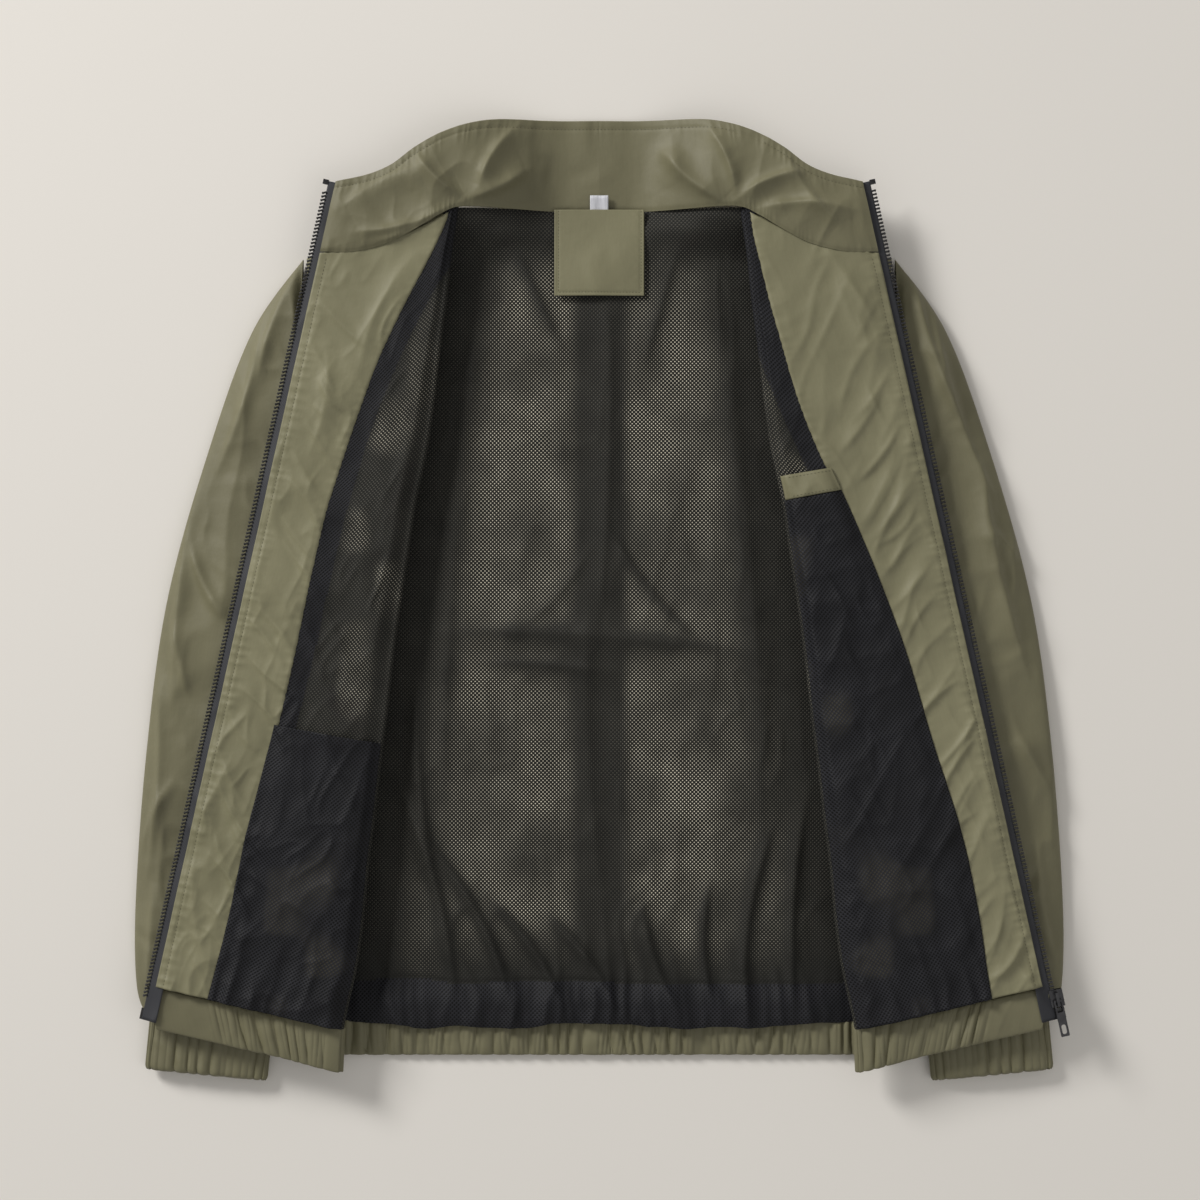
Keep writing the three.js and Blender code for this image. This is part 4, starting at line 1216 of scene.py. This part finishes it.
def front_hem_place(side):
    """A front's band: u runs in from the zip to the fold, round it, and out again below to the side seam."""
    def place(u, v):
        top = np.clip(u / opened_share, 0, 1)
        t = np.clip((u - opened_share) / (1 - opened_share), 0, 1)
        start = np.array(by_zip(hem_mid, -tape_show))
        fold_y = fold_low_y - 17 * mm
        end = np.array((fold_x(fold_y), fold_y))
        run = float(np.hypot(*(end - start)))
        s = run * top
        cx, cy = mix(start[0], end[0] + hem_roll, top), mix(start[1], end[1], top)
        turn = np.clip(t / rolled_share, 0, 1)
        w = np.clip((t - rolled_share) / (1 - rolled_share), 0, 1)
        rolling, below = t < rolled_share, t > rolled_share
        angle = np.pi * (0.5 + turn)
        lower_x, lower_y = mix(end[0] + hem_roll, hem_half, w), mix(end[1], hem_y + 15 * mm, w)
        lower_z = mix(hem_roll_z - hem_roll, 10 * mm, ease(0.05, 0.9, w))
        cz = np.full_like(u, hem_roll_z + hem_roll)
        cx = np.where(t > 0, np.where(rolling, cx + hem_roll * np.cos(angle), lower_x), cx)
        cy = np.where(below, lower_y, cy)
        cz = np.where(t > 0, np.where(rolling, hem_roll_z + hem_roll * np.sin(angle), lower_z), cz)
        lean = np.where(below, mix(0.0, -0.06, w), -mix(zip_up.x, 0.05, ease(0.6, 1, top)))
        along = s + np.where(t > 0, np.pi * hem_roll * turn + (hem_half - end[0]) * w, 0)
        thin = mix(1.0, 0.45, ease(0.9, 1.0, top))
        up, through, face = band_section(v, front_band_height, 3.4 * mm)
        free = ease(tab - 8 * mm, tab + 14 * mm, along)
        shift = 2.4 * mm * bumps(along, up, 30 * mm, 211)
        rib = puffs(along + shift, 12.5 * mm, 213 + side) + 0.3 * puffs(along - shift, 6 * mm, 217)
        swell = np.sign(through) * 4.0 * mm * rib * face ** 0.7 * free * thin
        lay = 0.8 * mm * bumps(along, up, 26 * mm, 219)
        bulge = 0.9 * mm * rib * np.sign(up) * (1 - face) * free
        px, py = cx + lean * up, cy + up * np.sqrt(1 - lean**2) + bulge
        rise = 0.25 * front_rise(px, py, side) * (t <= 0)
        return px, py, cz + through * thin + swell + lay * (t <= 0) + rise, along, 2 * front_band_height * v
    return place


for side, name in sides:
    hem = cloth(f"{name}_front_hem", 420, 40, front_hem_place(side), side)
    hem.data.flip_normals()
    close_tube(hem)
    give_thickness(hem, 0.4 * mm, -1)
    hem.data.materials.append(shaded_olive)
    nodes = [f"{name}_front_hem_casing", f"{name}_front_hem_elastic", f"{name}_side_hem"]
    low, high = (side * fold_middle.x, 0, 18.5 * mm), (side * fold_middle.x, 0, 22.8 * mm)
    rests = [f"{name}_sleeve_cloth"]
    declare(hem, "torso", nodes, "shell", "gathered", rests, f"{name}_front", low, high)

# ---- Sleeves ----
# Set-in sleeves of the same shell cloth, unlined, lie flat beside the body with soft lengthwise folds and
# some slack at the elbow, and are gathered into the cuffs.
cuff_seam = Vector((320 * mm, hem_y + 25 * mm))
cuff_turn = 0.097
cuff_wide = 101 * mm
cuff_across = Vector((math.cos(cuff_turn), math.sin(cuff_turn)))
cuff_out, cuff_in = cuff_seam + cuff_across * 0.5 * cuff_wide, cuff_seam - cuff_across * 0.5 * cuff_wide
sleeve_length = 0.55
sleeve_outer = [
    (244 * mm, neck_y - 41 * mm), (286 * mm, neck_y - 101 * mm), (322 * mm, neck_y - 199 * mm),
    (356 * mm, neck_y - 322 * mm), (373 * mm, neck_y - 445 * mm), (382 * mm, neck_y - 568 * mm),
    (381 * mm, neck_y - 640 * mm), tuple(cuff_out),
]
sleeve_inner = [
    (armpit.x, armpit.y + 2 * mm), (armpit.x - 10 * mm, armpit.y - 20 * mm),
    (armpit.x - 18 * mm, armpit.y - 45 * mm), (armpit.x - 22 * mm, armpit.y - 85 * mm),
    (236 * mm, neck_y - 445 * mm), (249 * mm, neck_y - 557 * mm),
    (260 * mm, neck_y - 640 * mm), tuple(cuff_in),
]


sleeve_creases = {
    1: (
        (5.0, (258, 272), (296, 150), 8, -5), (4.2, (276, 236), (322, 90), 7, -7),
        (4.5, (314, 120), (352, -60), 9, -6), (3.5, (322, 60), (344, 34), 7),
        (4.0, (366, 0), (372, -200), 8, 4), (3.2, (344, -110), (376, -166), 8),
        (3.2, (362, -205), (376, -300), 8, -5),
    ),
    -1: (
        (5.2, (250, 268), (278, 190), 8, 4), (4.8, (276, 236), (312, 110), 8, -5),
        (4.8, (336, 46), (308, -14), 7, 4), (4.4, (330, 112), (350, -80), 9, 5),
        (3.8, (352, -20), (338, -76), 7), (4.0, (364, -60), (372, -230), 8, -5),
        (3.4, (350, -150), (376, -205), 8, 4), (3, (366, -230), (372, -318), 8),
    ),
}


def sleeve_folds(x, y, side):
    """How far the upper side of a sleeve rises in folds."""
    rise = pleats(x, y, sleeve_creases[side])
    rise = rise + 2.6 * creases(x, 0.45 * y, 42 * mm, 231 + side, 1)
    return rise + 1.2 * creases(x, 0.8 * y, 21 * mm, 235 + side, 1)


def sleeve_place(side):
    """A sleeve as a flat tube, u round it and v from the armhole to the cuff."""
    def place(u, v):
        angle = 2 * np.pi * u
        ox, oy = curve_points(sleeve_outer, v)
        ix, iy = curve_points(sleeve_inner, v)
        cx, cy, hx, hy = 0.5 * (ox + ix), 0.5 * (oy + iy), 0.5 * (ox - ix), 0.5 * (oy - iy)
        reach = np.sign(np.cos(angle)) * np.abs(np.cos(angle)) ** 0.8
        climb = 1 - ease(0.8, 1, v)
        x, y = cx + hx * reach, cy + hy * reach
        up = np.sign(np.sin(angle)) * np.abs(np.sin(angle)) ** 0.72
        half = mix(6.5 * mm, 7.5 * mm, ease(0.8, 1, v))
        z = 8 * mm + climb * (3 - 6.5 * np.cos(angle)) * mm + half * up
        along, inward = from_zip(x, y)
        seen = ease(26 * mm, -2 * mm, inward)
        face = np.clip(np.sin(angle), 0, 1) ** 0.6
        z = z + 1.5 * mm * sleeve_folds(x, y, side) * face * mix(0.12, 1, seen) * ease(0, 0.04, v)
        girth = np.hypot(hx, hy) * 4 + 16 * mm
        down = (1 - v) * sleeve_length
        ripple = gathers(girth * u, down, 11 * mm, 24 * mm, 241) - 0.1
        z = z + 3.0 * mm * ripple * np.sign(up) * np.abs(np.sin(angle)) * ease(0.3, 0.0, down)
        z = np.maximum(z, 0.5 * mm)
        return x, y, z, girth * u, sleeve_length * v
    return place


for side, name in sides:
    sleeve = cloth(f"{name}_sleeve_cloth", 200, 260, sleeve_place(side), side)
    close_tube(sleeve)
    sleeve.data.flip_normals()
    give_thickness(sleeve, 0.4 * mm, -1)
    sleeve.data.materials.append(shaded_olive)
    start = Vector((middle + side * 249 * mm, 62 * mm, 0))
    end = start + 0.128 * Vector((side * math.sqrt(0.5), -math.sqrt(0.5), 0))
    slot = (f"{name}_sleeve", tuple(start), tuple(end))
    declare(sleeve, "torso", [f"{name}_sleeve"], "shell", "laid", ["table"], *slot)

# ---- Cuffs ----
# Each cuff is a short doubled tube of shell cloth over elastic, gathered all round.
cuff_long = 39 * mm
cuff_outside = 0.52


def cuff_place(u, v):
    """A cuff, u round it, v down its outside and up again inside it."""
    angle = 2 * np.pi * u
    outside = v < cuff_outside
    down = np.where(outside, v / cuff_outside, 1 - (v - cuff_outside) / (1 - cuff_outside)) * cuff_long
    inner = ease(0.48, 0.56, v)
    reach = np.sign(np.cos(angle)) * np.abs(np.cos(angle)) ** 0.85
    up = np.sign(np.sin(angle)) * np.abs(np.sin(angle)) ** 0.8
    girth = 2 * cuff_wide
    rib = puffs(girth * u + 1.8 * mm * bumps(girth * u, down, 24 * mm, 251), 9.6 * mm, 253)
    rib = rib + 0.3 * puffs(girth * u, 5 * mm, 257)
    wall = 2.6 * mm * inner
    across = (0.5 * cuff_wide - wall) * reach
    round_end = 1.6 * mm * np.sin(np.pi * np.clip((v - 0.46) / 0.12, 0, 1))
    z = 8 * mm + (5.8 * mm - wall) * up + 3.6 * mm * rib * up * mix(1, 0.4, inner)
    x = cuff_seam.x + cuff_across.x * across + cuff_across.y * (down + round_end)
    y = cuff_seam.y + cuff_across.y * across - cuff_across.x * (down + round_end * (1 + 0.5 * rib))
    return x, y, np.maximum(z, 0.6 * mm), girth * u, np.where(outside, down, 2 * cuff_long - down)


for side, name in sides:
    cuff = cloth(f"{name}_cuff", 420, 46, cuff_place, side)
    close_tube(cuff)
    cuff.data.flip_normals()
    give_thickness(cuff, 0.3 * mm, -1)
    cuff.data.materials.append(shaded_olive)
    nodes = [f"{name}_cuff_casing", f"{name}_cuff_elastic"]
    declare(cuff, f"{name}_sleeve", nodes, "shell", "gathered", ["table"])

# ---- Collar ----
# A stand-up collar of two plies of shell cloth, stitched 6 mm from its top edge. It lies open and flat behind
# the neck and runs on into both fronts, up to the top of the zip, with deep folds at the corners of the neck.
collar_low = [
    (0, neck_y - 1.5 * mm), (56 * mm, neck_y - 1 * mm), (98 * mm, neck_y + 0.5 * mm),
    (116 * mm, neck_y - 0.5 * mm), (130 * mm, neck_y - 7 * mm), (150 * mm, neck_y - 19 * mm),
    (172 * mm, neck_y - 30 * mm),
    (200 * mm, neck_y - 37 * mm), by_zip(seam_along + 1 * mm, -tape_show),
]
collar_high = [
    (0, neck_y + 73 * mm), (50 * mm, neck_y + 72.5 * mm), (84 * mm, neck_y + 71.5 * mm),
    (108 * mm, neck_y + 67 * mm), (130 * mm, neck_y + 59 * mm), (151 * mm, neck_y + 47 * mm),
    (170 * mm, neck_y + 33 * mm),
    (190 * mm, neck_y + 25 * mm), by_zip(zip_length - 1 * mm, -tape_show),
]


collar_creases = {
    1: (
        (6.0, (100, 326), (50, 372), 9, 5), (5.0, (112, 330), (86, 392), 8, -4),
        (5.2, (112, 326), (168, 350), 9, 5), (4.0, (128, 318), (206, 318), 9, 6),
        (3.5, (40, 332), (20, 382), 12), (3.2, (150, 372), (196, 306), 9, -6),
    ),
    -1: (
        (5.5, (108, 328), (60, 352), 9, 4), (5.0, (64, 392), (98, 338), 9, 5),
        (4.5, (112, 330), (150, 366), 8, -4), (5.0, (118, 322), (196, 300), 9, -5),
        (3.4, (150, 352), (206, 322), 11, 4), (3.0, (30, 384), (48, 334), 12, 4),
    ),
}


def collar_folds(x, y, side):
    rise = pleats(x, y, collar_creases[side])
    away = ease(36 * mm, 66 * mm, np.abs(x))
    crumples = 2.0 * away * creases(x, y, 44 * mm, 301 + side, 1)
    return rise * away + 1.2 * (1 + bumps(x, y, 46 * mm, 303)) + crumples


def collar_place(side):
    def place(u, v):
        lx, ly = curve_points(collar_low, u)
        hx, hy = curve_points(collar_high, u)
        up = np.where(v < 0.5, v / 0.48, (1 - v) / 0.48)
        up = np.clip(up, 0, 1)
        over = np.clip((v - 0.48) / 0.04, 0, 1)
        x, y = mix(lx, hx, up), mix(ly, hy, up)
        open_part = ease(0.2, 1.0, np.abs(x) / fold_top.x)
        base = mix(4.6 * mm, open_z + 1.0 * mm, open_part)
        along, inward = from_zip(x, y)
        edge = ease(0, 14 * mm, inward)
        tall = np.sin(np.pi * np.clip(0.12 + 0.8 * up, 0, 1))
        folds = collar_folds(x, y, side) * 1.5 * mm * tall * mix(0.35, 1, edge)
        rise = front_rise(x, y, side) * ease(0.85, 1.25, np.abs(x) / fold_top.x)
        row = (1 - up) * 72 * mm - 6 * mm
        seam = 0.7 * mm * puckers(u * 250 * mm, row, 311) - 0.5 * mm * np.exp(-((row / (1.2 * mm)) ** 2))
        low_seam = -0.8 * mm * np.exp(-((up * 72 * mm / (2.2 * mm)) ** 2))
        top = base + folds + rise + seam + low_seam
        top = top + 0.5 * mm * puckers(u * 250 * mm, up * 60 * mm, 315)
        apart = 2.6 * mm * ease(1.0, 0.86, up) + 1.3 * mm
        bottom = np.maximum(top - apart, 0.5 * mm)
        z = mix(top, bottom, ease(0, 1, over))
        bulge = 0.8 * mm * np.sin(np.pi * over)
        length = 252 * mm
        seam_to_edge = mix(0, 72 * mm, up)
        return x, y + bulge, z, u * length, np.where(v < 0.5, seam_to_edge, 146 * mm - seam_to_edge)
    return place


collars = {}
for side, name in sides:
    collar = cloth(f"{name}_collar", 200, 130, collar_place(side), side)
    collar.data.materials.append(shaded_olive)
    nodes = [f"{name}_collar_outer", f"{name}_collar_inner"]
    if side > 0:
        nodes += ["back_collar_outer", "back_collar_inner"]
    low, high = (middle + side * 98 * mm, neck_y, 0), (middle + side * 124 * mm, neck_y + 3.5 * mm, 0)
    declare(collar, "torso", nodes, "shell", "folded", ["table"], f"{name}_front", low, high)
    collars[name] = collar
    u = np.linspace(0.0, 0.99, 160)
    x, y = collar_place(side)(u, np.full(160, 0.48 * (1 - 6 / 72)))[:2]
    ends = ((0, 64, "torso"), (84, 160, f"{name}_front"))
    for first, last, body in ends:
        rows = [(middle + side * x[first:last], y[first:last])]
        stitches(f"{name}_collar_stitches_{body}", rows, [collar], body)

# ---- Neck flap and size label ----
# A square flap of doubled shell cloth hangs from the neck seam over the lining, stitched round 3 mm in from
# its edges. A folded ribbon label is caught in the same seam behind it.
flap_low, flap_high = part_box("neck_flap")
flap_wide, flap_tall = flap_high.x - flap_low.x, flap_high.y - flap_low.y


def flap_place(u, v):
    x = (u - 0.5) * flap_wide
    y = flap_high.y - flap_tall * (1 - v)
    in_x, in_y = (0.5 - np.abs(u - 0.5)) * flap_wide, v * flap_tall
    rim = np.minimum(in_x, in_y) - 3 * mm
    z = 8.6 * mm + 0.9 * mm * bumps(x, y, 40 * mm, 331)
    z = z + 1.1 * mm * ease(1, 0.2, v) * (1 - 0.6 * np.cos(6 * u))
    z = z - 0.35 * mm * np.exp(-((rim / (1.1 * mm)) ** 2)) + 0.35 * mm * puckers(x + y, rim, 335)
    return x, y, z, x, y


flap = cloth("neck_square", 90, 90, flap_place)
give_thickness(flap, 0.9 * mm)
flap.data.materials.append(olive)
declare(flap, "neck_flap", ["neck_flap"], "shell", "hung", ["back_lining_mesh"])
rows = []
inset = 3 * mm
x0, x1, y0, y1 = flap_low.x + inset, flap_high.x - inset, flap_low.y + inset, flap_high.y
for ax, ay, bx2, by2 in ((x0, y1, x0, y0), (x0, y0, x1, y0), (x1, y0, x1, y1)):
    t = np.linspace(0, 1, 30)
    rows.append((mix(ax, bx2, t), mix(ay, by2, t)))
stitches("neck_flap_stitches", rows, [flap], "neck_flap", step=2.6 * mm)


def label_material():
    material, nodes, links = new_material("woven_label")
    shader = nodes["Principled BSDF"]
    shader.inputs["Roughness"].default_value = 0.4
    shader.inputs["Sheen Weight"].default_value = 0.3
    threads = nodes.new("ShaderNodeGroup")
    threads.node_tree = weave
    threads.inputs["Threads per mm"].default_value = 1.6
    slubs = scaled(nodes, links, threads.outputs["Slubs"], 0, 1)
    tone = two_tone(nodes, links, slubs, (0.50, 0.51, 0.56), (0.70, 0.71, 0.76))
    links.new(tone, shader.inputs["Base Color"])
    bump = bumped(nodes, links, threads.outputs["Height"], 0.4, 0.00015)
    links.new(bump, shader.inputs["Normal"])
    return material


label_low, label_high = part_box("size_label")


def label_place(u, v):
    wide, tall = label_high.x - label_low.x, label_high.y - label_low.y
    x = (u - 0.5) * wide
    half = np.where(v < 0.5, v * 2, 2 - 2 * v)
    y = label_low.y + tall * half + 0.7 * mm * np.sin(np.pi * np.clip((v - 0.47) / 0.06, 0, 1))
    over = ease(0.47, 0.53, v)
    loop = 1.4 * mm * (0.3 + ease(0.3, 1, half))
    z = 6.6 * mm + 1.2 * mm * half + mix(loop, 0, over) + 0.3 * mm * np.sin(9 * u)
    return x, y, z, x, v * 2 * tall


label = cloth("size_ribbon", 16, 60, label_place)
give_thickness(label, 0.3 * mm)
label.data.materials.append(label_material())
declare(label, "torso", ["size_label"], "label", "folded", ["left_collar"])
